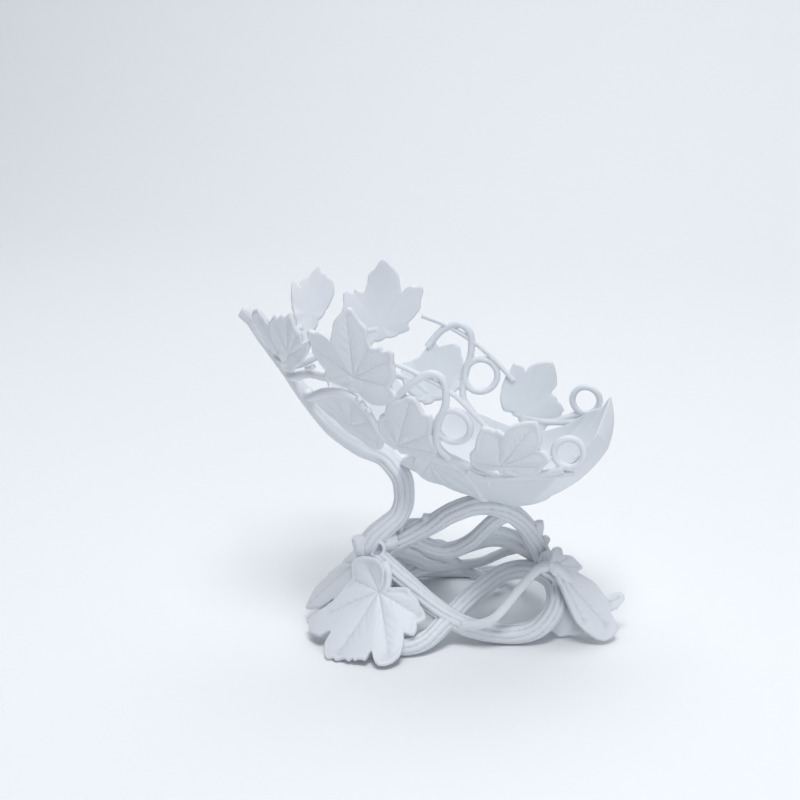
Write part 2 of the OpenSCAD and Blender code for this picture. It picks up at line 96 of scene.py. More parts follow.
def on_cradle(u, degrees, out=0.0):
    """The point of the cradle at u and an angle, out mm outside it, in millimetres."""
    angle = math.radians(degrees)
    r = cradle_r(np.float64(u), angle) + out
    return np.array(BASE_AT) + u * ALONG + r * (math.cos(angle) * DOWN + math.sin(angle) * NEAR)


print("Depth of the cradle at its middle:", round(float(depth(CRADLE_L / 2.0)), 1), "mm")

# %% [markdown]
# ## The camera
#
# The picture was taken from a little above, turned thirteen degrees from square on. A camera
# needs three directions: right, up and back. Writing them down as the columns of a matrix sets
# the turn exactly, which is easier to check than three angles.

# %% Camera
CAMERA_AT = (161.4, -852.1, 414.0)
YAW = math.radians(13)
LOOK_DOWN = math.radians(18)
LENS = 76.5
SENSOR = 36.0


def from_middle(point):
    """A given point as seen from the middle of the footprint, still in millimetres."""
    return (point[0] - MIDDLE[0], point[1] - MIDDLE[1], point[2])


def in_frame(point):
    """A given point in millimetres, carried into the shared frame in metres."""
    return Vector(from_middle(point)) * MM


def make_camera():
    """The camera at the picture's viewing angle."""
    back = Vector((
        math.sin(YAW) * math.cos(LOOK_DOWN),
        -math.cos(YAW) * math.cos(LOOK_DOWN),
        math.sin(LOOK_DOWN),
    ))
    right = Vector((math.cos(YAW), math.sin(YAW), 0.0))
    up = back.cross(right)
    turn = Matrix((right, up, back)).transposed().to_4x4()
    data = bpy.data.cameras.new("camera")
    data.lens = LENS
    data.sensor_width = SENSOR
    camera = bpy.data.objects.new("camera", data)
    camera.matrix_world = Matrix.Translation(in_frame(CAMERA_AT)) @ turn
    bpy.context.scene.collection.objects.link(camera)
    bpy.context.scene.camera = camera
    return camera


camera = make_camera()
print("Camera at", as_list(camera.matrix_world.translation))

# %% [markdown]
# ## Formulas as nodes
#
# Geometry nodes can follow a formula, but wiring twenty maths nodes by hand hides what they
# say. The small class below wraps a socket, so that `a * b + c` in Python adds the two nodes.
# The trees that it builds are ordinary ones, open to anyone in the node editor.

# %% Numbers in a node tree
class Flow:
    """A number flowing through a node tree."""

    def __init__(self, tree, socket):
        self.tree = tree
        self.socket = socket

    def math(self, operation, *others):
        """A maths node that takes this number first."""
        node = self.tree.nodes.new("ShaderNodeMath")
        node.operation = operation
        for slot, value in enumerate((self,) + others):
            feed(self.tree, value, node.inputs[slot])
        return Flow(self.tree, node.outputs[0])

    def __add__(self, other):
        return self.math("ADD", other)

    def __sub__(self, other):
        return self.math("SUBTRACT", other)

    def __mul__(self, other):
        return self.math("MULTIPLY", other)

    def __truediv__(self, other):
        return self.math("DIVIDE", other)

    def __pow__(self, other):
        return self.math("POWER", other)


def feed(tree, value, socket):
    """Wire a flow or a socket into a socket, or set the socket to a plain value."""
    if isinstance(value, Flow):
        tree.links.new(value.socket, socket)
    elif isinstance(value, bpy.types.NodeSocket):
        tree.links.new(value, socket)
    else:
        socket.default_value = value


print("Helper:", Flow.__doc__)

# %% [markdown]
# ## Making nodes and trees
#
# Every tree below needs the same few steps: make a node, set it, wire it, and name the sockets
# of the tree itself. A socket's kind can be told from its default value, so the trees only list
# names and values. Geometry trees all take a shape and a material and give a shape back.

# %% Nodes and trees
KINDS = {bool: "Bool", int: "Int", float: "Float"}


def add(tree, kind, inputs=None, **settings):
    """A node with its settings made and its inputs fed, by socket name or by number."""
    node = tree.nodes.new(kind)
    for name, value in settings.items():
        setattr(node, name, value)
    for name, value in (inputs or {}).items():
        feed(tree, value, node.inputs[name])
    return node


def new_tree(name, kind, inputs, outputs):
    """An empty tree with its input and output nodes; an input has a default value or a kind."""
    tree = bpy.data.node_groups.new(name, kind)
    for title, value in inputs.items():
        plain = KINDS.get(type(value))
        socket = tree.interface.new_socket(
            title, in_out="INPUT", socket_type="NodeSocket" + (plain or value))
        if plain:
            socket.default_value = value
    for title, given_kind in outputs.items():
        tree.interface.new_socket(
            title, in_out="OUTPUT", socket_type="NodeSocket" + given_kind)
    return tree, tree.nodes.new("NodeGroupInput"), tree.nodes.new("NodeGroupOutput")


def new_geometry_tree(name, inputs):
    """An empty tree that takes a shape and a material besides its inputs, and gives a shape."""
    every = {"Geometry": "Geometry"} | inputs | {"Material": "Material"}
    return new_tree(name, "GeometryNodeTree", every, {"Geometry": "Geometry"})


def finish_tree(tree, geometry, given, result):
    """Close a geometry tree with a real shape that wears the material given to the tree."""
    real = add(tree, "GeometryNodeRealizeInstances", {"Geometry": geometry})
    dressed = add(tree, "GeometryNodeSetMaterial",
                  {"Geometry": real.outputs[0], "Material": given.outputs["Material"]})
    feed(tree, dressed.outputs[0], result.inputs[0])


print("Kinds of plain socket:", sorted(KINDS.values()))

# %% [markdown]
# ## Short words for common nodes
#
# A few nodes come back in tree after tree: taking a vector apart and putting it together, vector
# maths, reading a point's place, moving it, and reading or storing a named attribute. Each one
# gets a short word here, so that a tree reads like the steps it takes.

# %% Common nodes
def split(tree, vector):
    """The three numbers of a vector."""
    node = add(tree, "ShaderNodeSeparateXYZ", {"Vector": vector})
    return [Flow(tree, node.outputs[name]) for name in "XYZ"]


def join(tree, x, y, z):
    """A vector made of three numbers."""
    return add(tree, "ShaderNodeCombineXYZ", {"X": x, "Y": y, "Z": z}).outputs[0]


def vector_math(tree, operation, first, second=None):
    """A vector maths node; the second value is a vector, or a number to scale by."""
    node = add(tree, "ShaderNodeVectorMath", {0: first}, operation=operation)
    if second is not None:
        feed(tree, second, node.inputs["Scale" if operation == "SCALE" else 1])
    return node.outputs["Value" if operation == "DOT_PRODUCT" else "Vector"]


def position(tree):
    """The place of each point that a tree works on."""
    return add(tree, "GeometryNodeInputPosition").outputs[0]


def moved(tree, geometry, places):
    """The geometry with its points set to new places."""
    node = add(tree, "GeometryNodeSetPosition", {"Geometry": geometry, "Position": places})
    return node.outputs[0]


def named(tree, name, data_type="FLOAT"):
    """A named attribute as a socket."""
    node = add(tree, "GeometryNodeInputNamedAttribute", {"Name": name}, data_type=data_type)
    return node.outputs["Attribute"]


def store(tree, geometry, name, value, data_type="FLOAT"):
    """The geometry with a value stored on its points under a name."""
    node = add(
        tree, "GeometryNodeStoreNamedAttribute", {"Geometry": geometry, "Name": name},
        data_type=data_type, domain="POINT",
    )
    feed(tree, value, node.inputs["Value"])
    return node.outputs["Geometry"]


print("Common nodes:", ", ".join(word.__name__ for word in (split, join, position, moved)))

# %% [markdown]
# ## Running a tree
#
# A modifier knows its inputs by identifier, so a helper looks each one up by its name. The
# result is then kept as a plain mesh without modifiers.

# %% Run a tree and keep its mesh
def run_tree(piece, tree, settings):
    """Run a tree on a piece with named settings, and keep the plain mesh that comes out."""
    modifier = piece.modifiers.new(tree.name, "NODES")
    modifier.node_group = tree
    for item in tree.interface.items_tree:
        if item.in_out == "INPUT" and item.name in settings:
            modifier[item.identifier] = settings[item.name]
    return keep_mesh(piece)


def keep_mesh(piece):
    """Swap a piece's mesh for what its modifiers make, and take the modifiers off."""
    graph = bpy.context.evaluated_depsgraph_get()
    graph.update()
    made = bpy.data.meshes.new_from_object(piece.evaluated_get(graph))
    piece.modifiers.clear()
    piece.data = made
    return piece


def new_piece(name, verts, faces=(), edges=()):
    """An object made of the given points, edges and faces."""
    mesh = bpy.data.meshes.new(name)
    mesh.from_pydata([tuple(v) for v in verts], list(edges), list(faces))
    piece = bpy.data.objects.new(name, mesh)
    bpy.context.scene.collection.objects.link(piece)
    return piece


print("Blender", bpy.app.version_string, "is ready")

# %% [markdown]
# ## White moulded plastic
#
# The body's plastic is one colour, a faintly cool white with a satin skin. Two small effects keep
# it from looking like paper. The attribute `hollow`, worked out later from the shape itself,
# says how deep in a groove a point lies, and there the colour is painted greyer, as painted
# shade in the groove. A very fine grain in the bump and the roughness gives the soft skin of
# cast plastic.

# %% Material
PLASTIC = (0.72, 0.755, 0.79, 1.0)
# Grey-blue that the grooves are painted toward, as painted shade
PLASTIC_PAINTED_SHADE = (0.48, 0.50, 0.56, 1.0)
SHEEN = 0.42
GRAIN_PER_METRE = 900.0
BLOTCHES_PER_METRE = 60.0
BUMP_STRENGTH = 0.12
BUMP_DEPTH = 0.0002


def make_grain_group():
    """A shader group for cast plastic: roughness round a middle value, and a fine height."""
    tree, given, result = new_tree(
        "Cast skin", "ShaderNodeTree",
        {"Roughness": 0.45, "Spread": 0.08, "Grain": GRAIN_PER_METRE},
        {"Roughness": "Float", "Height": "Float"},
    )
    place = add(tree, "ShaderNodeTexCoord").outputs["Object"]
    fine = add(tree, "ShaderNodeTexNoise", {
        "Vector": place, "Scale": given.outputs["Grain"], "Detail": 3.0, "Roughness": 0.6})
    broad = add(tree, "ShaderNodeTexNoise",
                {"Vector": place, "Scale": BLOTCHES_PER_METRE, "Detail": 2.0})
    swing = Flow(tree, broad.outputs[0]) - 0.5
    rough = swing * Flow(tree, given.outputs["Spread"]) + Flow(tree, given.outputs["Roughness"])
    feed(tree, rough, result.inputs["Roughness"])
    feed(tree, fine.outputs[0], result.inputs["Height"])
    return tree


def make_plastic():
    """The holder's material."""
    material = bpy.data.materials.new("white plastic")
    material.use_nodes = True
    tree = material.node_tree
    shader = tree.nodes["Principled BSDF"]
    skin = add(tree, "ShaderNodeGroup", node_tree=make_grain_group())
    # Painted shade: the colour turns toward the grey-blue where the hollow attribute marks a groove
    hollow = add(tree, "ShaderNodeAttribute", attribute_name="hollow")
    painted_groove_shade = add(tree, "ShaderNodeMix", {
        "Factor": hollow.outputs["Fac"], 6: PLASTIC, 7: PLASTIC_PAINTED_SHADE}, data_type="RGBA")
    tree.links.new(painted_groove_shade.outputs[2], shader.inputs["Base Color"])
    tree.links.new(skin.outputs["Roughness"], shader.inputs["Roughness"])
    bump = add(tree, "ShaderNodeBump", {
        "Height": skin.outputs["Height"], "Strength": BUMP_STRENGTH, "Distance": BUMP_DEPTH})
    tree.links.new(bump.outputs[0], shader.inputs["Normal"])
    shader.inputs["Specular IOR Level"].default_value = SHEEN
    return material


plastic = make_plastic()
print("Material:", plastic.name)

# %% [markdown]
# ## Laying things on the cradle
#
# Everything on the cradle is drawn flat first: how far along the seat, how far round it in
# degrees, and how far outside the surface. This group turns those three numbers into a place
# in the frame. A leaf, a tendril and a ring all go through it, so they follow one surface.

# %% The cradle as a node group
def make_lay_group():
    """A group that turns a distance, an angle and a height into a place on the cradle."""
    tree, given, result = new_tree(
        "Lay on the cradle", "GeometryNodeTree", {"Along": 0.0, "Degrees": 0.0, "Out": 0.0},
        {"Position": "Vector", "Radius": "Float"},
    )
    u, degrees, out = [Flow(tree, given.outputs[name]) for name in ("Along", "Degrees", "Out")]
    share = (u / CRADLE_L).math("MAXIMUM", 0.0).math("MINIMUM", 1.0)
    sag = (share * math.pi).math("SINE").math("MAXIMUM", 0.0) ** SWELL
    deep = sag * BELLY + FLOOR_D
    angle = degrees * (math.pi / 180.0)
    c = angle.math("COSINE")
    s = angle.math("SINE")
    one = Flow(tree, add(tree, "ShaderNodeValue").outputs[0])
    one.socket.default_value = 1.0
    radius = one / ((c / deep) ** 2.0 + (s / SIDE_W) ** 2.0).math("SQRT")
    reach = radius + out
    x = u * ALONG[0] + reach * c * DOWN[0] + (BASE_AT[0] - MIDDLE[0])
    y = reach * s * NEAR[1] + (BASE_AT[1] - MIDDLE[1])
    z = u * ALONG[2] + reach * c * DOWN[2] + BASE_AT[2]
    feed(tree, join(tree, x * MM, y * MM, z * MM), result.inputs["Position"])
    feed(tree, radius, result.inputs["Radius"])
    return tree


lay_group = make_lay_group()


def lay(tree, u, degrees, out):
    """The position and radius sockets of a point laid on the cradle."""
    node = add(
        tree, "GeometryNodeGroup", {"Along": u, "Degrees": degrees, "Out": out},
        node_tree=lay_group,
    )
    return node.outputs["Position"], Flow(tree, node.outputs["Radius"])


print("Group:", lay_group.name)

# %% [markdown]
# ## Growing a vine
#
# A vine is a path of a few points, each with its own thickness. The first part of its tree
# smooths the path with a Catmull-Rom curve, resamples it, and sweeps a circle along it. Every
# point of the tube remembers three things: how far along its stem it lies, how far round it,
# and where the stem's centre is there.

# %% Sweep a stem
STEP = 0.6
SIDES = 56


def swept_tube(tree, given):
    """Tubes along the given paths, laid on the cradle or left as they are."""
    curve = add(tree, "GeometryNodeMeshToCurve", {"Mesh": given.outputs["Geometry"]})
    soft = add(tree, "GeometryNodeCurveSplineType", {"Curve": curve.outputs[0]},
               spline_type="CATMULL_ROM")
    fine = add(tree, "GeometryNodeResampleCurve",
               {"Curve": soft.outputs[0], "Length": given.outputs["Step"]}, mode="LENGTH")
    here = position(tree)
    x, y, z = split(tree, here)
    laid, _ = lay(tree, x, y, z)
    free = join(tree, (x - MIDDLE[0]) * MM, (y - MIDDLE[1]) * MM, z * MM)
    chosen = add(tree, "GeometryNodeSwitch", {
        "Switch": given.outputs["On the cradle"], "False": free, "True": laid},
        input_type="VECTOR")
    placed = moved(tree, fine.outputs[0], chosen.outputs[0])
    run = add(tree, "GeometryNodeSplineParameter").outputs["Length"]
    marked = store(tree, placed, "run", run)
    marked = store(tree, marked, "centre", here, "FLOAT_VECTOR")
    circle = add(tree, "GeometryNodeCurvePrimitiveCircle",
                 {"Resolution": given.outputs["Sides"], "Radius": 1.0})
    share = add(tree, "GeometryNodeSplineParameter").outputs["Factor"]
    profile = store(tree, circle.outputs[0], "turn", share)
    tube = add(tree, "GeometryNodeCurveToMesh", {
        "Curve": marked, "Profile Curve": profile, "Scale": named(tree, "thick"),
        "Fill Caps": True})
    return tube.outputs[0]


print("A stem has a ring of", SIDES, "points every", STEP, "mm")

# %% [markdown]
# ## Carving the bark
#
# Each point of the tube moves toward the stem's centre by a share that depends on how far round
# it is. The absolute value of a sine has rounded tops and sharp bottoms, which is just the
# section of a grooved stem. Twist turns the grooves along the way, and noise makes them wander
# and gives the stem its lumps.

# %% Bark
SWAY_PER_MM = 0.016
GROOVE_SHARPNESS = 3.0
LUMPS_PER_METRE = 75.0


def bark_share(tree, given, point):
    """How far out each point of the skin lies, as a share of its stem's radius."""
    length = Flow(tree, named(tree, "run")) / MM
    sway = add(tree, "ShaderNodeTexNoise", {
        "W": length * SWAY_PER_MM + Flow(tree, given.outputs["Seed"]), "Scale": 1.0,
        "Detail": 1.0},
        noise_dimensions="1D")
    turn = (Flow(tree, sway.outputs[0]) - 0.5) * Flow(tree, given.outputs["Wander"])
    turn = turn + length * Flow(tree, given.outputs["Twist"])
    round_it = Flow(tree, named(tree, "turn")) * (2.0 * math.pi)
    half = Flow(tree, given.outputs["Ridges"]) * 0.5
    ridge = (round_it * half + turn * half).math("SINE").math("ABSOLUTE")
    valley = (ridge * -1.0 + 1.0) ** GROOVE_SHARPNESS
    lump = add(tree, "ShaderNodeTexNoise", {
        "Vector": point, "W": given.outputs["Seed"], "Scale": LUMPS_PER_METRE, "Detail": 2.0},
        noise_dimensions="4D")
    swell = (Flow(tree, lump.outputs[0]) - 0.5) * Flow(tree, given.outputs["Lumps"])
    return swell - valley * Flow(tree, given.outputs["Groove"]) + 1.0


def make_vine_tree():
    """A tree that turns paths of points into grooved stems."""
    tree, given, result = new_geometry_tree("Grow a vine", {
        "On the cradle": False, "Ridges": 7.0, "Groove": 0.2, "Twist": 0.02, "Wander": 2.0,
        "Lumps": 0.16, "Seed": 0.0, "Step": STEP, "Sides": SIDES,
    })
    tube = swept_tube(tree, given)
    point = position(tree)
    centre = named(tree, "centre", "FLOAT_VECTOR")
    arm = vector_math(tree, "SUBTRACT", point, centre)
    arm = vector_math(tree, "SCALE", arm, bark_share(tree, given, point))
    skin = moved(tree, tube, vector_math(tree, "ADD", centre, arm))
    finish_tree(tree, skin, given, result)
    return tree


vine_tree = make_vine_tree()
print("Tree:", vine_tree.name)

# %% [markdown]
# ## From paths to stems
#
# All the stems of one kind are grown together. A path's rows are x, y, z and the radius, in
# millimetres, or along, round, outside and the radius where it is laid on the cradle. Points
# and radii become one loose wire of edges, which is what the tree takes in.

# %% Grow stems along paths
def grow(name, paths, seed, laid=False, ridges=7.0, groove=0.2, twist=0.02, wander=2.0,
         lumps=0.16):
    """Grow all the paths of a list as one piece, laid on the cradle or free."""
    points = [point for path in paths for point in path]
    edges = []
    start = 0
    for path in paths:
        edges += [(start + k, start + k + 1) for k in range(len(path) - 1)]
        start += len(path)
    piece = new_piece(name, [point[:3] for point in points], edges=edges)
    thick = piece.data.attributes.new("thick", "FLOAT", "POINT")
    thick.data.foreach_set("value", [point[3] * MM for point in points])
    settings = {
        "On the cradle": laid, "Ridges": ridges, "Groove": groove, "Twist": twist,
        "Wander": wander, "Lumps": lumps, "Seed": seed, "Material": plastic,
        "Step": STEP, "Sides": SIDES,
    }
    run_tree(piece, vine_tree, settings)
    print(name, "has", len(paths), "stems and", len(piece.data.polygons), "faces")
    return piece


print("A stem is grown with", vine_tree.name, "and wears", plastic.name)

# %% [markdown]
# ## The main vine and the stand
#
# The main vine starts at a sawn stub at the narrow end, runs as a smooth keel under the cradle
# and comes down as the grooved leg. The two are grown apart, because the keel is flatter and
# its bark is finer. From the knot at the leg's foot the other vines part: an arch that carries
# the cup, a branch that closes the eye below it, a loop that turns over on itself and runs to
# the front foot, and branches behind. Each is a short list of places, in millimetres, with the
# stem's radius there.

# %% Paths of the keel and the leg
def cradle_points(rows):
    """Rows given along, round and outside the seat with a radius, as points of a free path."""
    return [list(on_cradle(u, degrees, out)) + [r] for u, degrees, out, r in rows]


keel = cradle_points([
    (195.5, 8, 3, 3.9), (193, 8, 3, 4.1), (189, 8, 3, 4.1), (187, 8, 3, 3.3), (184, 8, 3, 2.8),
    (176, 7, 3, 2.8), (159, 5, 3, 3.3), (139, 4, 5, 4.5), (119, 3, 7, 5.6), (101, 2, 6.5, 5.8),
    (90, 0, 5, 5.0),
])
leg = cradle_points([(112, 3, 4, 3.0), (101, 2, 6.0, 5.6), (88, 0, 5, 6.0)]) + [
    [-34.2, -3, 87.4, 6.0], [-31.6, -6, 80, 5.8], [-31.4, -9, 73, 5.7], [-34.2, -12, 66.6, 5.7],
    [-40.5, -14.5, 61, 6.0], [-46.5, -16, 55, 6.3], [-49.5, -16, 48, 6.4], [-48.5, -14, 41, 6.0],
    [-45, -12, 34, 4.6],
]
print("The leg ends", leg[-1][2], "mm above the floor, inside the knot")

# %% Paths of the loop, the arch and the eye
loop = [
    [-46, -18, 47, 5.6], [-29, -22, 35, 5.5], [-10, -25, 21, 5.5], [8, -22, 10, 5.5],
    [28, -17, 5.8, 5.7], [44, -13, 8.5, 5.8], [53, -5, 19, 5.8], [49.5, 6, 29, 5.5],
    [37, 11, 32.5, 5.5], [23, 10, 30, 5.4], [10, 3, 22, 5.5], [-1, -20, 16, 5.5],
    [-12, -37, 7.5, 5.5], [-24, -44, 5.6, 5.4], [-36, -42, 8, 5.0],
]
arch = [
    [-49, -17, 42, 5.4], [-42, -11, 46, 5.6], [-34, -8, 51.5, 5.6], [-25, -6, 56.5, 5.6],
    [-15, -5, 62, 5.7], [-4.7, -4, 69, 5.8], [9, -3.5, 74.5, 5.8], [21.3, -2, 73, 5.7],
    [31.4, 3, 65, 5.5], [37.5, 9, 53.2, 5.4], [42.7, 13, 39.8, 5.4], [49, 15, 22, 5.0],
    [57, 14, 0.5, 4.4],
]
eye_branch = [
    [-46, -14, 38, 4.9], [-40.4, -9, 44, 5.0], [-34, -5, 49, 5.0], [-27.6, -2, 50, 4.9],
    [-21, 0, 46.3, 4.8], [-12.4, 3, 42.6, 4.8], [-3.7, 5, 44, 4.7], [4.6, 5, 49.6, 4.6],
    [11.8, 3, 57.6, 4.5], [18.5, 0, 65, 4.5], [25, -1, 69.5, 4.2],
]
print("The arch's top is", max(point[2] for point in arch), "mm up")

# %% [markdown]
# ## Thinner growth
#
# Behind the front vines thinner branches cross and join. They show only as shapes between the
# vines, so they are placed to close the same gaps and are finished plainly.

# %% Paths of the rear branches
rear_branches = [
    # From the leg down to the floor at the back
    [[-36, 14, 40.5, 2.7], [-29.5, 18, 36.2, 2.8], [-22, 22, 31.4, 3.0], [-13.6, 26, 28, 3.2],
     [-5.2, 30, 21.9, 3.3], [0.9, 34, 16.7, 3.4], [8, 42, 10, 3.3], [14, 50, 5, 3.2]],
    # Low from the knot, then up to the arch's foot
    [[-44, -4, 34, 4.0], [-36, 8, 23, 3.6], [-30, 16, 23, 3.4], [-22, 24, 23, 3.3],
     [-14, 28, 28, 3.5], [-8.4, 28, 32.4, 3.7], [1.7, 26, 38.6, 4.0], [11.2, 24, 42.8, 4.1],
     [21.2, 22, 43.4, 4.1], [35.5, 17, 40.2, 4.0], [43, 13, 36, 3.8]],
    # Thinning across the middle
    [[-46, -6, 40, 4.4], [-40, 6, 38, 4.4], [-31, 12, 33, 4.2], [-22, 20, 26, 3.6],
     [-8, 28, 24, 2.9], [4.6, 30, 26, 2.8], [13, 32, 29.7, 2.8], [19, 32, 33, 2.7],
     [28, 28, 38, 2.8]],
    # The long sweep round the back, near the floor
    [[-44, 0, 36, 4.1], [-44, 24, 22, 4.1], [-36, 50, 8, 4.1], [-18, 64, 4.2, 4.1],
     [6, 65, 5, 4.1], [28, 51, 13, 4.1], [44, 30, 24, 4.1], [48, 16, 34, 4.0]],
    # A short brace behind the arch, and a fork from the leg to it
    [[11, 6, 57, 3.0], [21.3, 14, 52.5, 2.9], [31.2, 16, 48.4, 2.9], [38, 14, 43, 3.0]],
    [[-35, -9, 60, 3.6], [-31, 1, 57.5, 3.4], [-24, 5, 57, 3.4], [-14, 3, 60, 3.2]],
]
print("Rear branches:", len(rear_branches))

# %% [markdown]
# ## Tendril, stalk, knot and stubs
#
# A tendril follows the loop and runs out along the right leaf, and a stalk holds the front
# leaf. The knot is a short thick stem across the foot of the leg, with a raised rim round its
# recess. Beside it a sawn stub stands up, and the arch has nubs where its shoots were cut.

# %% Paths of the small growth
front_stalk = [
    [-39, -32, 29, 1.6], [-35.5, -31.5, 33, 1.9], [-35, -29, 40, 2.1], [-38, -25, 45, 2.4],
]
loop_tendril = [
    [4, -26, 12, 2.5], [15, -28, 15, 2.5], [24, -27, 20, 2.5], [34, -19, 32, 2.5],
    [42, -11, 41, 2.6], [48, -8.5, 44, 2.9], [53, -8, 43.5, 3.0], [57.5, -6.5, 38.5, 2.6],
    [63, -2.5, 32, 2.0], [69, 1.5, 26, 1.5], [75, 5, 20.5, 1.0],
]
sawn_stub = [
    [-48, -16, 41, 5.0], [-51, -18, 45, 4.6], [-53.2, -19, 50, 4.0], [-54.4, -19.5, 56.2, 3.7],
]
knot = [[-50, -15, 44, 6.0], [-46, -15, 50, 6.3], [-41, -14, 52.5, 5.6], [-35, -11, 53, 5.0]]
nubs = [
    [[-24, -6, 57, 3.0], [-20, -6, 62, 2.8], [-18.5, -6, 67.0, 2.6]],
    [[36, 7, 53, 3.4], [40, 8, 56.5, 3.3], [41, 8, 60.5, 3.0], [40.8, 8, 63.2, 2.6]],
    [[40, 11, 46, 3.2], [43.5, 12, 49.5, 2.8], [45.4, 12, 52.5, 2.1]],
]
knot_rim = [
    [-42.8, -20.5, 54.8, 1.0], [-40.4, -20, 53.2, 1.2], [-39.7, -20, 49.8, 1.3],
    [-41.0, -20.5, 46.6, 1.1],
]
print("Nubs on the arch:", len(nubs))

# %% [markdown]
# ## The stems themselves
#
# Each call grows one kind of stem. The thick old vines have nine deep grooves, the keel has a
# few shallow ones, and the tendril and the rim of the knot are smooth. Every kind has its own
# seed, so that no two of them wander alike.

# %% Grow the stems
trunk_stems = [
    grow("keel", [keel], seed=1.0, ridges=5.0, groove=0.10, twist=0.006),
    grow("leg", [leg], seed=1.5, ridges=9.0, groove=0.24, twist=0.012),
]
stand_stems = [
    grow("loop_vine", [loop], seed=2.0, ridges=9.0, groove=0.24, twist=0.014),
    grow("arch_vine", [arch], seed=3.0, ridges=9.0, groove=0.24, twist=0.012),
    grow("eye_branch", [eye_branch], seed=4.0, ridges=8.0, groove=0.22),
    grow("rear_branches", rear_branches + [front_stalk], seed=5.0),
    grow("loop_tendril", [loop_tendril], seed=6.0, groove=0.0, lumps=0.12),
    grow("stubs", [sawn_stub, knot] + nubs, seed=7.0, ridges=6.0, groove=0.12),
    grow("knot_rim", [knot_rim], seed=7.5, groove=0.0, lumps=0.1),
]

# %% [markdown]
# ## Tendrils, rings and rims
#
# The wires of the cradle are smooth and thin: an arching tendril, a rim wire, and two rings on
# each side. They are given as places on the cradle, so the tree lays them on its surface after
# smoothing them, and they can't drift off it. Two small helpers write the paths: one closes a
# ring, the other gives a row of places their radius.

# %% Rings and tapers
TENDRIL_R = 1.8
WIRE_R = 1.35
RING_D = 17.8
SMALL_RING_D = 15.2
RING_TURNS = 14


def ring(u, degrees, out, across, radius=TENDRIL_R):
    """A closed ring as a path that overlaps its own start by one point."""
    r = float(cradle_r(np.float64(u), math.radians(degrees)))
    points = []
    for k in range(RING_TURNS + 2):
        t = 2.0 * math.pi * k / RING_TURNS
        wide = math.degrees(across / 2.0 * math.sin(t) / r)
        points.append([u + across / 2.0 * math.cos(t), degrees + wide, out, radius])
    return points


def with_radius(places, *radii):
    """Places with a radius each: one for all, or the first and last of an even taper."""
    last = len(places) - 1
    start, end = radii[0], radii[-1]
    return [list(p) + [start + (end - start) * k / last] for k, p in enumerate(places)]


print("Rings are", RING_D, "and", SMALL_RING_D, "mm across")

# %% [markdown]
# ## The nearer side
#
# The tendril arches over the rim and comes down beside its ring. Stalks lead to the leaves and
# are thicker and lightly grooved, and so are the nubs where shoots were cut.

# %% Growth of the nearer side
near_wires = [
    # The arching tendril and its ring
    with_radius([(99, 59, 0.5), (96, 74, 1), (91, 87, 0), (83, 88, 0), (76, 76, 0.5),
                 (73, 60, 1), (67, 48, 1.5), (58, 44, 1)], 2.1, 1.9),
    ring(66, 65, 0.5, RING_D),
    # The rim wire, then the small ring and its tail
    with_radius([(110, 79, 0), (96, 82, 0), (77, 84, 0), (61, 80, 0), (47, 75, 0)], WIRE_R),
    ring(10, 94, 0, SMALL_RING_D),
    with_radius([(2, 84, -1), (9, 75, 0.5), (19, 65, 1), (31, 58, 1)], TENDRIL_R),
]
near_stalks = [
    # Stalks from the keel to the leaves, the last one bent back along the cradle
    with_radius([(172, 6, 2), (166, 14, 1), (157, 29, 0.4)], 2.3, 1.7),
    with_radius([(156, 5, 2), (150, 24, 1), (144, 36, 0.5), (134, 44, 1), (124, 54, 0.5)],
                3.2, 1.8),
    with_radius([(142, 2, 3), (138, 17, 2), (132, 34, 2), (120, 44, 2), (107, 41, 2),
                 (95, 33, 2.5), (86, 31, 2)], 2.9, 1.7),
    # A belt along the cup's edge and a ridge down the cup
    with_radius([(8, 83, 1), (16, 70, 1.5), (26, 56, 2), (36, 46, 2), (47, 43, 2)], 2.0, 1.6),
    with_radius([(37, 48, 1), (33, 36, 0), (26, 20, -0.3), (22, 5, -0.6)], 1.7),
    # Three nubs
    with_radius([(117, 42, 1), (115.5, 45, 2), (114.2, 48.5, 3.4)], 1.6),
    with_radius([(109.5, 40, 1.5), (108, 42.5, 2.4), (106.8, 45.5, 3.6)], 1.6),
    with_radius([(147, 39, 1), (145, 42.5, 1.6), (143.8, 46.5, 2.4)], 1.5),
]
print("Paths on the nearer side:", len(near_wires) + len(near_stalks))

# %% [markdown]
# ## The farther side
#
# It repeats the nearer side's growth a little shifted, as such a holder does, without the nubs.

# %% Growth of the farther side
far_wires = [
    with_radius([(102, -62, 1), (100, -77, 1), (94, -88, 0), (86, -87, 0), (80, -76, 0.5),
                 (76, -62, 1), (70, -49, 1.5), (60, -44, 1)], 2.1, 1.9),
    ring(68, -66, 0.5, RING_D),
    with_radius([(114, -78, 0), (100, -82, 0), (82, -83, 0), (66, -80, 0), (51, -75, 0)], WIRE_R),
    ring(12, -93, 0, SMALL_RING_D),
    with_radius([(2, -84, -1), (11, -74, 0.5), (23, -64, 1), (36, -58, 1)], TENDRIL_R),
]
far_stalks = [
    with_radius([(178, 5, 2), (173, -12, 1), (166, -27, 0.4)], 2.3, 1.7),
    with_radius([(160, 3, 2), (150, -22, 1), (141, -42, 1), (131, -54, 0.5)], 3.2, 1.8),
    with_radius([(128, -2, 4), (122, -22, 2), (112, -37, 2), (99, -41, 2), (88, -40, 1.5)],
                2.9, 1.7),
    with_radius([(10, -82, 1), (18, -70, 1.5), (28, -57, 2), (40, -46, 2), (50, -43, 2)], 2.0, 1.6),
]
print("Paths on the farther side:", len(far_wires) + len(far_stalks))

# %% [markdown]
# Both sides are grown by the same tree as the vines, this time laid on the cradle.

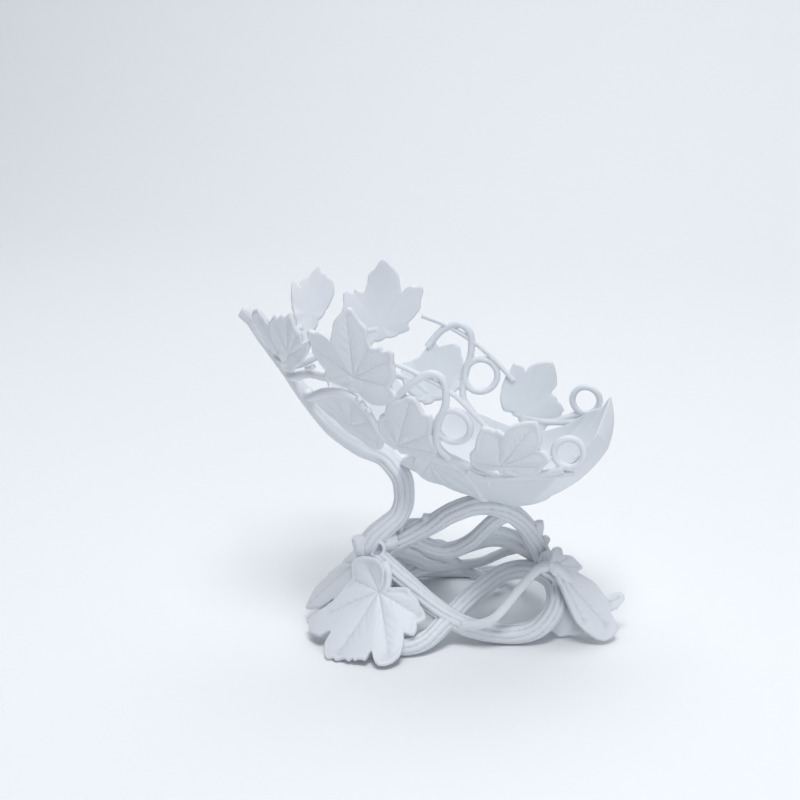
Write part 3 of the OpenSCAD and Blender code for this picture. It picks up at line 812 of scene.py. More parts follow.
# %% Grow the wires and the stalks
near_growth = [
    grow("near_wires", near_wires, seed=8.0, laid=True, groove=0.0, lumps=0.1),
    grow("near_stalks", near_stalks, seed=9.0, laid=True, ridges=5.0, groove=0.1, lumps=0.14),
]
far_growth = [
    grow("far_wires", far_wires, seed=10.0, laid=True, groove=0.0, lumps=0.1),
    grow("far_stalks", far_stalks, seed=11.0, laid=True, ridges=5.0, groove=0.1, lumps=0.14),
]

# %% [markdown]
# ## Leaves
#
# A leaf has a few main veins that meet at its stalk, and pairs of side veins that leave each
# of them. They are cut into the upper face, so each is kept as a straight segment with a share
# of the full depth, and the leaf asks every point of its face how far the nearest segment is.

# %% Veins
# Where side veins leave a main vein, as shares of its length, and how they branch off
SIDE_VEINS = (0.3, 0.48, 0.64, 0.78)
SIDE_VEIN_TURN = math.radians(40)
SIDE_VEIN_SHIFT = 0.05
SIDE_VEIN_LENGTH = 0.34
SIDE_VEIN_TAPER = 1.12
SIDE_VEIN_DEPTH = 0.5


def vein_lines(veins, size):
    """Main veins and the side veins that leave them, as segments with a depth share each."""
    segments = []
    for degrees, reach in veins:
        angle = math.radians(degrees)
        aim = np.array([math.cos(angle), math.sin(angle)])
        tip = aim * reach * size
        segments.append((np.zeros(2), tip, 1.0))
        for share in SIDE_VEINS:
            for side in (1, -1):
                turn = angle + side * SIDE_VEIN_TURN
                spot = aim * reach * size * (share + SIDE_VEIN_SHIFT * side)
                length = reach * size * SIDE_VEIN_LENGTH * (SIDE_VEIN_TAPER - share)
                branch = np.array([math.cos(turn), math.sin(turn)]) * length
                segments.append((spot, spot + branch, SIDE_VEIN_DEPTH))
    return segments


def gap_to(points, start, end):
    """Distance of each point from a segment, and how far along it the nearest place is."""
    line = end - start
    share = np.clip(((points - start) @ line) / (line @ line), 0.0, 1.0)
    nearest = start + share[..., None] * line
    return np.linalg.norm(points - nearest, axis=-1), share


print("Segments for one main vein:", len(vein_lines([(0, 1.0)], 1.0)))

# %% [markdown]
# ## Relief of a leaf
#
# The upper face isn't flat. It rounds off at the rim, has a faint lip just inside it, puffs up
# between the veins and is cut in along each of them, and the whole leaf folds up a little from
# its main veins and waves toward its rim. All of that depends on two distances only: how far a
# point is from the rim, and how far from the nearest vein.

# %% Height of a leaf
LEAF_T = 2.5

# Rounding of the rim, and height, place and width of the lip inside it
RIM_ROUND = 0.95
LIP = 0.32
LIP_INSIDE = 1.7
LIP_WIDTH = 1.1

# Height of the flesh, and how far from a vein and from the rim it rises
PUFF = 0.38
PUFF_FROM_VEIN = 2.6
PUFF_FROM_RIM = 3.5

# Depth and width of a vein, how both change along it, and where it fades out near the rim
VEIN_DEPTH = 0.62
VEIN_WIDTH = 0.52
VEIN_START = 1.15
VEIN_TAPER = 0.5
VEIN_FAINTER = 0.45
FAINT_VEIN_WIDTH = 0.7
STRONG_VEIN_GAIN = 0.3
VEIN_FADE = 2.2

# Fold up from the main veins, and waves round the leaf
FOLD = 0.6
FOLD_WIDTH = 6.0
WAVE = 0.45
WAVES = 5.0

FAR = 1000.0


def fades_in(distance, width):
    """A smooth rise from 0, at no distance, to 1 well past the width."""
    return 1.0 - np.exp(-(distance / width) ** 2)


def leaf_heights(flat, share, inside, angle, veins, size, thickness):
    """Middle, upper and lower height of each point of a flat leaf, in millimetres."""
    cut = np.zeros(inside.shape)
    main_gap = np.full(inside.shape, FAR)
    for start, end, strength in vein_lines(veins, size):
        gap, place = gap_to(flat, start, end)
        width = VEIN_WIDTH * (VEIN_START - VEIN_TAPER * place)
        width = width * (FAINT_VEIN_WIDTH + STRONG_VEIN_GAIN * strength)
        deep = strength * (1.0 - VEIN_FAINTER * place)
        cut = np.maximum(cut, deep * np.exp(-(gap / width) ** 2))
        if strength == 1.0:
            main_gap = np.minimum(main_gap, gap)
    edge = np.sqrt(1.0 - (1.0 - np.clip(inside / RIM_ROUND, 0.0, 1.0)) ** 2)
    lip = LIP * np.exp(-((inside - LIP_INSIDE) / LIP_WIDTH) ** 2)
    flesh = PUFF * fades_in(main_gap, PUFF_FROM_VEIN) * fades_in(inside, PUFF_FROM_RIM)
    quiet = np.clip(inside / VEIN_FADE, 0.0, 1.0)
    top = edge * (thickness / 2.0 + lip + flesh - VEIN_DEPTH * cut * quiet)
    fold = FOLD * fades_in(main_gap, FOLD_WIDTH) * share[:, None]
    wave = WAVE * np.sin(WAVES * angle + size) * share[:, None] ** 2
    return fold + wave, top, -edge * thickness / 2.0


print("A leaf is", LEAF_T, "mm thick and its veins are", VEIN_DEPTH, "mm deep")

# %% [markdown]
# ## A flat leaf
#
# A leaf is drawn flat as a closed shell. Its outline is a list of marks round the point where
# the veins meet, each an angle from the tip and a share of the leaf's length. The shell is a
# grid of rays and rings, closer together near the rim, and each of its faces has one such grid.

# %% Shell of a leaf
TURNS = 420
RINGS = 64
RING_CROWDING = 1.25


def band(first, second, face_up):
    """Faces between two rings of points that start at the given numbers."""
    step = np.arange(TURNS)
    after = (step + 1) % TURNS
    if face_up:
        return [(first + i, second + i, second + j, first + j) for i, j in zip(step, after)]
    return [(first + j, second + j, second + i, first + i) for i, j in zip(step, after)]


def leaf_shell(name, outline, veins, size, thickness=LEAF_T):
    """A flat leaf as a closed shell in millimetres, its tip along X and its face up."""
    marks = sorted(outline)
    around = np.arange(TURNS) * 360.0 / TURNS
    reach = np.interp(around, [m[0] for m in marks], [m[1] for m in marks], period=360) * size
    # Half of each reach and a quarter of both neighbours, which softens the marks
    reach = 0.5 * reach + 0.25 * np.roll(reach, 1) + 0.25 * np.roll(reach, -1)
    share = 1.0 - (1.0 - np.arange(1, RINGS + 1) / RINGS) ** RING_CROWDING
    angle = np.radians(around)
    flat = (share[:, None] * reach)[..., None] * np.stack([np.cos(angle), np.sin(angle)], -1)
    inside = (1.0 - share)[:, None] * reach
    middle, top, low = leaf_heights(flat, share, inside, angle, veins, size, thickness)

    inner = RINGS - 1
    upper = np.dstack([flat[:inner], (middle + top)[:inner]]).reshape(-1, 3)
    under = np.dstack([flat[:inner], (middle + low)[:inner]]).reshape(-1, 3)
    rim = np.dstack([flat[inner:], middle[inner:]]).reshape(-1, 3)
    top_mid = (0.0, 0.0, thickness / 2.0 - VEIN_DEPTH)
    low_mid = (0.0, 0.0, -thickness / 2.0)
    points = np.vstack([upper, rim, under, [top_mid, low_mid]])

    faces = []
    for k in range(inner):
        faces += band(k * TURNS, (k + 1) * TURNS, True)
    under_start = (inner + 1) * TURNS
    for k in range(inner):
        start = under_start + k * TURNS
        faces += band(start, start + TURNS if k < inner - 1 else inner * TURNS, False)
    crown = len(points) - 2
    faces += [(crown, i, (i + 1) % TURNS) for i in range(TURNS)]
    faces += [(crown + 1, under_start + (i + 1) % TURNS, under_start + i) for i in range(TURNS)]
    return new_piece(name, points, faces)


print("Points of one leaf:", 2 * (RINGS - 1) * TURNS + TURNS + 2)

# %% [markdown]
# ## Outlines
#
# Each leaf that shows clearly has its own outline, with the lobes and teeth that it has on the
# real holder. The cradle's leaves are lettered A to E from the narrow end to the cup. The
# narrow leaf behind A and the low relief on the cup have outlines too.

# %% Outlines on the cradle
OUTLINE_A = [
    (0, 1.02), (5, 0.89), (10, 0.90), (16, 0.84), (19, 0.87), (24, 0.85), (30, 0.78), (40, 0.67),
    (49, 0.53), (64, 0.38), (104, 0.26), (145, 0.37), (155, 0.52), (164, 0.62), (176, 0.56),
    (195, 0.40), (215, 0.30), (259, 0.30), (285, 0.38), (303, 0.51), (314, 0.63), (321, 0.71),
    (324, 0.60), (327, 0.52), (331, 0.60), (338, 0.70), (345, 0.74), (350, 0.78), (355, 0.88),
]
OUTLINE_A_BACK = [
    (0, 1.00), (5, 0.97), (11, 0.93), (20, 0.84), (26, 0.72), (35, 0.50), (60, 0.28),
    (130, 0.18), (180, 0.22), (240, 0.16), (320, 0.22), (345, 0.55), (352, 0.80), (357, 0.90),
]
OUTLINE_B = [
    (0, 1.08), (14, 0.88), (19, 0.75), (26, 0.63), (29, 0.76), (32, 0.82), (36, 0.84),
    (40, 0.92), (44, 0.90), (51, 0.76), (61, 0.68), (67, 0.58), (79, 0.42), (92, 0.45),
    (109, 0.31), (150, 0.20), (197, 0.24), (203, 0.33), (216, 0.47), (229, 0.56),
    (244, 0.66), (253, 0.68), (261, 0.56), (274, 0.62), (285, 0.66), (294, 0.67),
    (305, 0.78), (310, 0.77), (314, 0.67), (320, 0.71), (322, 0.64), (329, 0.59),
    (337, 0.69), (342, 0.84), (350, 0.91), (357, 1.07),
]
OUTLINE_C = [
    (0, 1.00), (5, 0.89), (12, 0.74), (25, 0.57), (49, 0.44), (78, 0.41), (107, 0.50),
    (120, 0.66), (137, 0.70), (151, 0.77), (170, 0.74), (184, 0.72), (200, 0.67), (218, 0.63),
    (236, 0.66), (252, 0.73), (266, 0.84), (275, 0.90), (284, 0.95), (292, 0.86), (300, 0.93),
    (310, 0.86), (320, 0.92), (330, 0.85), (340, 0.93), (350, 0.90),
]
OUTLINE_CUP = [
    (0, 1.00), (6, 0.95), (12, 0.97), (19, 0.86), (26, 0.83), (33, 0.74), (41, 0.70),
    (52, 0.58), (66, 0.46), (84, 0.34), (110, 0.24), (150, 0.16), (210, 0.16), (250, 0.24),
    (276, 0.34), (294, 0.46), (308, 0.57), (319, 0.70), (327, 0.74), (334, 0.83), (341, 0.86),
    (348, 0.95), (354, 0.96),
]
OUTLINE_D = [
    (0, 1.14), (7, 1.13), (12, 1.01), (29, 0.84), (36, 0.65), (48, 0.61), (61, 0.46),
    (74, 0.31), (86, 0.17), (192, 0.11), (249, 0.22), (265, 0.39), (284, 0.62), (297, 0.74),
    (310, 0.70), (322, 0.72), (333, 0.88), (341, 1.02), (347, 0.95), (354, 1.04),
]
OUTLINE_E = [
    (356, 1.06), (9, 0.89), (18, 0.77), (21, 0.61), (33, 0.68), (37, 0.66), (42, 0.71),
    (52, 0.75), (72, 0.57), (82, 0.51), (97, 0.53), (121, 0.49), (137, 0.36), (150, 0.17),
    (178, 0.10), (237, 0.17), (240, 0.29), (282, 0.51), (310, 0.76), (316, 0.88),
    (327, 0.83), (332, 0.73), (335, 0.84), (342, 0.93), (353, 1.05),
]
print("Marks round the largest leaf:", len(OUTLINE_B))

# %% [markdown]
# At the feet F is the front leaf and G the right one, which is seen nearly edge on. The hidden
# and half hidden leaves share a plain outline. That one, the curled tip and the low fan are the
# same on both sides of their middle vein, so only one half of each is written down.

# %% Outlines at the feet
def mirrored(half):
    """An outline that is the same on both sides, from its marks from 0 to 180 degrees."""
    return half + [(360 - degrees, reach) for degrees, reach in half if 0 < degrees < 180]


OUTLINE_F = [
    (1, 0.89), (4, 0.90), (6, 0.82), (7, 0.74), (9, 0.82), (11, 0.91), (14, 0.96), (19, 0.97),
    (24, 0.95), (30, 0.89), (34, 0.81), (37, 0.75), (42, 0.62), (45, 0.68), (49, 0.72), (55, 0.69),
    (60, 0.63), (66, 0.67), (71, 0.68), (76, 0.62), (81, 0.54), (89, 0.49), (95, 0.41), (104, 0.39),
    (109, 0.31), (115, 0.18), (130, 0.12), (156, 0.13), (166, 0.19), (172, 0.27), (177, 0.33),
    (186, 0.37), (200, 0.41), (212, 0.45), (223, 0.48), (231, 0.50), (240, 0.46), (251, 0.41),
    (274, 0.51), (285, 0.60), (291, 0.78), (294, 1.10), (299, 1.03), (304, 1.05), (310, 0.98),
    (315, 0.92), (317, 0.78), (319, 0.76), (322, 0.86), (324, 0.94), (327, 0.95), (331, 1.02),
    (335, 1.04), (338, 0.98), (341, 1.00), (345, 0.94), (348, 0.93), (351, 0.95), (353, 0.88),
    (355, 0.93), (357, 0.89),
]
OUTLINE_G = [
    (0, 0.91), (3, 0.87), (5, 0.80), (7, 0.75), (10, 0.77), (13, 0.74), (15, 0.67), (17, 0.66),
    (19, 0.60), (22, 0.57), (25, 0.54), (27, 0.48), (29, 0.39), (31, 0.30), (35, 0.32),
    (39, 0.38), (43, 0.39), (53, 0.32), (65, 0.26), (74, 0.20), (84, 0.15), (97, 0.21),
    (110, 0.20), (131, 0.16), (166, 0.08), (250, 0.06), (320, 0.10), (332, 0.20), (335, 0.38),
    (336, 0.54), (339, 0.64), (343, 0.75), (346, 0.83), (350, 0.89), (355, 0.91),
]
OUTLINE_TIP = mirrored([(0, 1.00), (12, 0.93), (25, 0.70), (60, 0.42), (110, 0.35), (180, 0.35)])
OUTLINE_FAN = mirrored([
    (0, 1.00), (10, 0.97), (20, 1.02), (32, 0.95), (44, 0.80), (60, 0.50), (90, 0.28),
    (180, 0.16),
])
OUTLINE_PLAIN = mirrored([
    (0, 1.00), (9, 0.86), (17, 0.80), (29, 0.56), (38, 0.70), (47, 0.76), (57, 0.92),
    (66, 0.77), (74, 0.72), (84, 0.55), (94, 0.66), (105, 0.68), (118, 0.79), (127, 0.67),
    (138, 0.64), (153, 0.48), (168, 0.22),
])
print("Marks round the plain leaf:", len(OUTLINE_PLAIN))

# %% [markdown]
# ## Where the main veins run
#
# A main vein is given by its angle from the tip and its length as a share of the leaf's. They
# point at the lobes, so there is one list for each outline.

# %% Main veins of the leaves
VEINS_A = [(3, 0.78), (29, 0.62), (342, 0.58), (319, 0.45), (166, 0.40)]
VEINS_A_BACK = [(4, 0.9)]
VEINS_B = [(1, 0.95), (53, 0.62), (331, 0.5), (300, 0.56), (261, 0.46)]
VEINS_C = [(0, 0.84), (163, 0.62), (221, 0.50), (267, 0.68), (300, 0.72), (330, 0.66)]
VEINS_CUP = [(2, 0.9), (30, 0.62), (331, 0.62), (58, 0.42), (302, 0.42)]
VEINS_D = [(4, 0.98), (324, 0.65), (294, 0.6), (45, 0.48)]
VEINS_E = [(355, 0.86), (330, 0.68), (308, 0.6), (116, 0.36), (30, 0.5)]
VEINS_F = [(340, 0.86), (22, 0.80), (68, 0.56), (299, 0.66), (252, 0.36), (211, 0.28), (97, 0.34)]
VEINS_G = [(357, 0.76), (344, 0.60), (40, 0.3), (26, 0.44), (70, 0.2)]
VEINS_TIP = [(0, 0.7)]
VEINS_FAN = [(0, 0.8), (330, 0.7), (30, 0.7)]
VEINS_PLAIN = [(0, 0.86), (57, 0.76), (118, 0.6), (242, 0.6), (303, 0.76)]
print("Main veins of the front leaf:", len(VEINS_F))

# %% [markdown]
# ## Bending the leaves
#
# Two trees bend a flat leaf. The first one lays it on the cradle at a heading, where its rim
# can flare off the surface.

# %% The tree that lays a leaf on the cradle
def make_cradle_leaf_tree():
    """A tree that lays a flat leaf on the cradle."""
    tree, given, result = new_geometry_tree("Lay a leaf", {
        "Along": 0.0, "Degrees": 0.0, "Heading": 90.0, "Side": 1.0, "Out": 0.0, "Wide": 1.0,
        "Flare": 0.0,
    })
    names = ("Along", "Degrees", "Heading", "Side", "Out", "Wide", "Flare")
    u, degrees, heading, side, out, wide, flare = [Flow(tree, given.outputs[n]) for n in names]
    x, y, z = split(tree, position(tree))
    y = y * wide
    turn = heading * (math.pi / 180.0)
    c = turn.math("COSINE")
    s = turn.math("SINE")
    ahead = x * c + side * y * s
    up = x * s - side * y * c
    _, radius = lay(tree, u, degrees, 0.0)
    lift = flare * (x * x + y * y)
    place, _ = lay(tree, u + ahead, degrees + side * up / radius * (180.0 / math.pi),
                   out + z + lift)
    finish_tree(tree, moved(tree, given.outputs["Geometry"], place), given, result)
    return tree


cradle_leaf_tree = make_cradle_leaf_tree()
print("Tree:", cradle_leaf_tree.name)

# %% [markdown]
# The second tree hangs a leaf on the stand. It gives the leaf a centre, a way for its tip and a
# way for its face, droops it along its length, curls it round a bell across its width, and can
# curl up the part behind its centre.

# %% The tree that hangs a leaf on the stand
def make_foot_leaf_tree():
    """A tree that hangs a flat leaf on the stand."""
    tree, given, result = new_geometry_tree("Hang a leaf", {
        "Centre": "Vector", "Tip": "Vector", "Face": "Vector", "Droop": 0.004, "Bell": 60.0,
        "Wide": 1.0, "Back curl": 0.0,
    })
    names = ("Droop", "Bell", "Wide", "Back curl")
    droop, bell, wide, curl = [Flow(tree, given.outputs[n]) for n in names]
    up = vector_math(tree, "NORMALIZE", given.outputs["Face"])
    left = vector_math(tree, "CROSS_PRODUCT", up, given.outputs["Tip"])
    left = vector_math(tree, "NORMALIZE", left)
    ahead = vector_math(tree, "CROSS_PRODUCT", left, up)
    x, y, z = split(tree, position(tree))
    turn = y * wide / bell
    across = (bell + z) * turn.math("SINE")
    back = x.math("MINIMUM", 0.0)
    front = x.math("MAXIMUM", 0.0)
    lift = (bell + z) * turn.math("COSINE") - bell - droop * front * front + curl * back * back
    spot = vector_math(tree, "SCALE", ahead, x)
    for direction, amount in ((left, across), (up, lift)):
        spot = vector_math(tree, "ADD", spot, vector_math(tree, "SCALE", direction, amount))
    spot = vector_math(tree, "ADD", spot, given.outputs["Centre"])
    spot = vector_math(tree, "SCALE", spot, MM)
    finish_tree(tree, moved(tree, given.outputs["Geometry"], spot), given, result)
    return tree


foot_leaf_tree = make_foot_leaf_tree()
print("Tree:", foot_leaf_tree.name)

# %% [markdown]
# ## The leaves themselves
#
# A leaf of the cradle is placed by where its veins meet, given along and round the seat. Its
# heading is in degrees, where 90 points straight up the side, and its size is the reach that
# the outline's shares are taken of. The narrow leaf lies just behind A and a little inside it.

# %% Leaves of the cradle
def cradle_leaf(name, outline, veins, place, heading, size, out=0.0, wide=1.0, flare=0.0):
    """A leaf on the cradle whose veins meet at place, given along and round the seat."""
    piece = leaf_shell(name, outline, veins, size)
    settings = {
        "Along": float(place[0]), "Degrees": float(place[1]), "Heading": float(heading),
        "Side": 1.0 if place[1] > 0 else -1.0, "Out": float(out), "Wide": float(wide),
        "Flare": flare / size, "Material": plastic,
    }
    return run_tree(piece, cradle_leaf_tree, settings)


near_leaves = [
    cradle_leaf("leaf_A", OUTLINE_A, VEINS_A, (158.8, 38.8), heading=71, size=28.2, out=0.8),
    cradle_leaf("leaf_A_back", OUTLINE_A_BACK, VEINS_A_BACK, (162, 24), heading=50, size=34, out=-0.6),
    cradle_leaf("leaf_B", OUTLINE_B, VEINS_B, (123, 55.5), heading=58, size=37, out=0.4, flare=0.05),
    cradle_leaf("leaf_C", OUTLINE_C, VEINS_C, (111.5, 23), heading=-21, size=27, out=0.8),
    cradle_leaf("leaf_D", OUTLINE_D, VEINS_D, (84.8, 33), heading=81.6, size=32, out=1.5),
    cradle_leaf("leaf_E", OUTLINE_E, VEINS_E, (34.7, 59.4), heading=89, size=32, out=0.6, flare=0.05),
    cradle_leaf("cup_leaf", OUTLINE_CUP, VEINS_CUP, (66, 34), heading=216, size=44, out=1.0, wide=0.8),
]
far_leaves = [
    cradle_leaf("leaf_A_far", OUTLINE_A, VEINS_A, (168, -37), heading=70, size=28, out=0.6),
    cradle_leaf("leaf_B_far", OUTLINE_B, VEINS_B, (130, -57), heading=62, size=36, out=0.4, flare=0.05),
    cradle_leaf("leaf_C_far", OUTLINE_C, VEINS_C, (115, -22), heading=-18, size=26, out=0.5),
    cradle_leaf("leaf_D_far", OUTLINE_D, VEINS_D, (87, -38), heading=84, size=31, out=1.5),
    cradle_leaf("leaf_E_far", OUTLINE_E, VEINS_E, (38, -60), heading=92, size=32, out=0.6, flare=0.05),
]
print("Leaves on the cradle:", len(near_leaves) + len(far_leaves))

# %% [markdown]
# A leaf of the feet is placed by the point where its veins meet, the way its tip points and the
# way it faces. The front leaf hangs from the knot and is thicker. The right one folds down over
# the arch's foot, its curled tip is a small leaf of its own, and a low leaf shows behind it.

# %% Leaves of the feet
def foot_leaf(name, outline, veins, at, tip, face, size, droop=0.004, bell=60.0, wide=1.0,
              curl=0.0, thickness=3.0):
    """A leaf on the stand, with its centre, the way its tip points and the way it faces."""
    piece = leaf_shell(name, outline, veins, size, thickness)
    settings = {
        "Centre": from_middle(at), "Tip": tip, "Face": face,
        "Droop": droop, "Bell": bell, "Wide": wide, "Back curl": curl, "Material": plastic,
    }
    return run_tree(piece, foot_leaf_tree, settings)


foot_leaves = [
    foot_leaf("front_foot_leaf", OUTLINE_F, VEINS_F, (-39.5, -31.7, 30), tip=(-0.07, -0.70, -0.71),
              face=(-0.1, -0.8, 0.6), size=44, droop=-0.005, bell=70.0, curl=0.03, thickness=3.6),
    foot_leaf("left_foot_leaf", OUTLINE_PLAIN, VEINS_PLAIN, (-58, -11, 35), tip=(-29, -3, -29),
              face=(-0.56, -0.44, 0.70), size=40, droop=0.002, bell=28.0, wide=0.9),
    foot_leaf("right_foot_leaf", OUTLINE_G, VEINS_G, (52, -8, 44.5), tip=(31.5, 12, -43),
              face=(0.72, -0.55, 0.42), size=58, droop=-0.001, bell=34.0),
    foot_leaf("right_foot_tip", OUTLINE_TIP, VEINS_TIP, (79.5, 6.0, 18.0), tip=(11.0, 12.0, 2.0),
              face=(0.45, -0.45, 0.75), size=12, droop=-0.02, bell=9.0),
    foot_leaf("low_leaf", OUTLINE_FAN, VEINS_FAN, (57, 2, 30.5), tip=(8, -4, -30),
              face=(0.3, -0.9, 0.2), size=30.5, droop=0.0, bell=30.0, wide=0.85),
    foot_leaf("right_rear_leaf", OUTLINE_PLAIN, VEINS_PLAIN, (50, 16, 36), tip=(24, 12, -26),
              face=(0.6, 0.2, 0.6), size=34, droop=0.004, bell=30.0, wide=0.85),
    foot_leaf("rear_foot_leaf", OUTLINE_PLAIN, VEINS_PLAIN, (-40, 42, 22), tip=(-14, 26, -16),
              face=(-0.35, 0.55, 0.75), size=38, droop=0.001, bell=60.0),
]
print("Leaves at the feet:", len(foot_leaves))

# %% [markdown]
# ## The cup
#
# The closed end, which takes most of the weight, is a bowl. Its wall is a grid on the cradle's
# own surface, closed by a second grid a wall's thickness inside. Each row of `CUP_ROWS` is a
# place along the seat and the degrees up each side that the wall reaches there.

# %% Wall of the cup
SEAT_R = 38.5
BASE_ROUND = 10.0
CUP_WALL = 3.5
CUP_FLARE = 0.8
WALL_ROWS = 60
WALL_COLUMNS = 80
CUP_ROWS = [
    (3, 98), (7, 88), (13, 70), (22, 57), (34, 49), (48, 46), (60, 44), (70, 38), (76, 29), (79, 15),
]


def seat_r(u):
    """Radius of the seat at u, which is less where its base is rounded."""
    short = max(BASE_ROUND - u, 0.0)
    return SEAT_R - BASE_ROUND + math.sqrt(BASE_ROUND * BASE_ROUND - short * short)


def wall_faces(start, flip):
    """Faces of one grid of the wall's points, seen from one side or the other."""
    faces = []
    for i in range(WALL_ROWS - 1):
        for j in range(WALL_COLUMNS - 1):
            a = start + i * WALL_COLUMNS + j
            face = (a, a + WALL_COLUMNS, a + WALL_COLUMNS + 1, a + 1)
            faces.append(face[::-1] if flip else face)
    return faces


def wall_border():
    """Numbers of the points round the edge of one grid, in order."""
    last = WALL_COLUMNS - 1
    border = list(range(WALL_COLUMNS))
    border += [i * WALL_COLUMNS + last for i in range(1, WALL_ROWS)]
    border += [(WALL_ROWS - 1) * WALL_COLUMNS + j for j in range(last - 1, -1, -1)]
    return border + [i * WALL_COLUMNS for i in range(WALL_ROWS - 2, 0, -1)]


def cup_wall():
    """The wall of the cup as a closed sheet on the cradle."""
    marks_u = [row[0] for row in CUP_ROWS]
    marks_a = [row[1] for row in CUP_ROWS]
    outer = []
    inner = []
    for i in range(WALL_ROWS):
        u = marks_u[0] + (marks_u[-1] - marks_u[0]) * (i / (WALL_ROWS - 1))
        edge = float(np.interp(u, marks_u, marks_a))
        for j in range(WALL_COLUMNS):
            angle = math.radians(edge * (2.0 * j / (WALL_COLUMNS - 1) - 1.0))
            swell = seat_r(u) + CUP_WALL / 2.0 + CUP_FLARE * (u - marks_u[0])
            r = min(float(cradle_r(np.float64(u), angle)), swell)
            spoke = math.cos(angle) * DOWN + math.sin(angle) * NEAR
            middle = np.array(BASE_AT) + u * ALONG
            outer.append(in_frame(middle + (r + CUP_WALL / 2.0) * spoke))
            inner.append(in_frame(middle + (r - CUP_WALL / 2.0) * spoke))
    count = WALL_ROWS * WALL_COLUMNS
    faces = wall_faces(0, False) + wall_faces(count, True)
    border = wall_border()
    for a, b in zip(border, border[1:] + border[:1]):
        faces.append((a, b, count + b, count + a))
    return new_piece("cup_wall", outer + inner, faces)


cup = [cup_wall()]
print("The cup's wall has", len(cup[0].data.polygons), "faces")

# %% [markdown]
# The end of the cup is a shallow dish turned round the seat's axis: a ball's cap outside and a
# flatter hollow inside. Its upper part is drawn in to a level edge, as on the real holder, by
# shortening each spoke that would pass it.

# %% End of the cup
CUP_BULGE = 9.0
CUP_END_H = 16.0
END_OVERLAP = 0.6
END_STEPS = 16
END_SIDES = 96


def cup_end():
    """The dished end of the cup, with its upper part drawn in to a level edge."""
    rim_u = CUP_ROWS[0][0]
    rim_r = seat_r(rim_u) + END_OVERLAP * CUP_WALL
    dish_r = (rim_r ** 2 + (CUP_BULGE + rim_u) ** 2) / (2.0 * (CUP_BULGE + rim_u))
    edge = math.asin(rim_r / dish_r)
    hollow = CUP_BULGE - CUP_WALL
    outline = []
    for k in range(1, END_STEPS + 1):
        t = edge * k / END_STEPS
        outline.append((dish_r * math.sin(t), dish_r - CUP_BULGE - dish_r * math.cos(t)))
    for k in range(END_STEPS, 0, -1):
        r = seat_r(rim_u) * k / END_STEPS
        outline.append((r, -hollow + hollow * (r / (SEAT_R - BASE_ROUND)) ** 2))
    points = []
    for k in range(END_SIDES):
        angle = 2.0 * math.pi * k / END_SIDES
        spoke = math.cos(angle) * DOWN + math.sin(angle) * NEAR
        share = min(1.0, CUP_END_H / (rim_r * max(-math.cos(angle), 1e-6)))
        points += [in_frame(np.array(BASE_AT) + u * ALONG + r * share * spoke) for r, u in outline]
    n = len(outline)
    faces = []
    for k in range(END_SIDES):
        a = k * n
        b = (k + 1) % END_SIDES * n
        faces += [(a + i, b + i, b + i + 1, a + i + 1) for i in range(n - 1)]
    first = len(points)
    points.append(in_frame(np.array(BASE_AT) - CUP_BULGE * ALONG))
    points.append(in_frame(np.array(BASE_AT) - hollow * ALONG))
    for k in range(END_SIDES):
        a = k * n
        b = (k + 1) % END_SIDES * n
        faces.append((first, b, a))
        faces.append((first + 1, a + n - 1, b + n - 1))
    return new_piece("cup_end", points, faces)


cup.append(cup_end())
print("The cup has", sum(len(piece.data.polygons) for piece in cup), "faces")

# %% [markdown]
# ## Fusing the skin
#
# So far the parts only pass through each other. The real body is moulded, so where a stem
# meets a leaf the skin runs on. A voxel remesh reads the closed shells as one volume and wraps
# it in a single skin, a little smoothing softens the joins, and decimating then saves
# triangles where the skin is flat. Each group is fused on its own to keep its detail.

# %% Joining and cutting
KNOT_HOLLOW_AT = (-43.6, -22.0, 50.8)
KNOT_HOLLOW_R = 3.5
BALL_STEPS = 4


def join_pieces(name, pieces):
    """Several pieces as one object."""
    bpy.ops.object.select_all(action="DESELECT")
    for piece in pieces:
        piece.select_set(True)
    bpy.context.view_layer.objects.active = pieces[0]
    bpy.ops.object.join()
    pieces[0].name = name
    return pieces[0]


def ball(name, at, radius):
    """A ball to cut with, with its middle given in millimetres."""
    mesh = bpy.data.meshes.new(name)
    shape = bmesh.new()
    bmesh.ops.create_icosphere(shape, subdivisions=BALL_STEPS, radius=radius * MM)
    bmesh.ops.translate(shape, verts=shape.verts, vec=[v * MM for v in from_middle(at)])
    shape.to_mesh(mesh)
    shape.free()
    piece = bpy.data.objects.new(name, mesh)
    bpy.context.collection.objects.link(piece)
    return piece


knot_hollow = ball("knot_hollow", KNOT_HOLLOW_AT, KNOT_HOLLOW_R)
print("The knot's recess is", 2.0 * KNOT_HOLLOW_R, "mm across")

# %% [markdown]
# One function fuses a group. The recess in the knot is cut after the remesh and before the
# smoothing, so that its edge is softened as well. Thin growth gets fewer rounds of smoothing
# than the trunk, because each round wears it down a little.

# %% Fuse each group
VOXEL = 0.42
TRIANGLES = 192000
SOFTNESS = 0.5


def fuse(name, pieces, rounds, hollow=None):
    """One closed skin round all the pieces, with rounds of smoothing and a part cut out."""
    body = join_pieces(name, pieces)
    remesh = body.modifiers.new("fuse", "REMESH")
    remesh.mode = "VOXEL"
    remesh.voxel_size = VOXEL * MM
    if hollow:
        cut = body.modifiers.new("hollow", "BOOLEAN")
        cut.operation = "DIFFERENCE"
        cut.solver = "MANIFOLD"
        cut.object = hollow
    soften = body.modifiers.new("soften", "SMOOTH")
    soften.factor = SOFTNESS
    soften.iterations = rounds
    keep_mesh(body)
    if hollow:
        bpy.data.objects.remove(hollow)
    count = sum(len(face.vertices) - 2 for face in body.data.polygons)
    if count > TRIANGLES:
        thin = body.modifiers.new("thin out", "DECIMATE")
        thin.ratio = TRIANGLES / count
        keep_mesh(body)
    print(name, "had", count, "triangles and keeps", len(body.data.polygons), "faces")
    return body


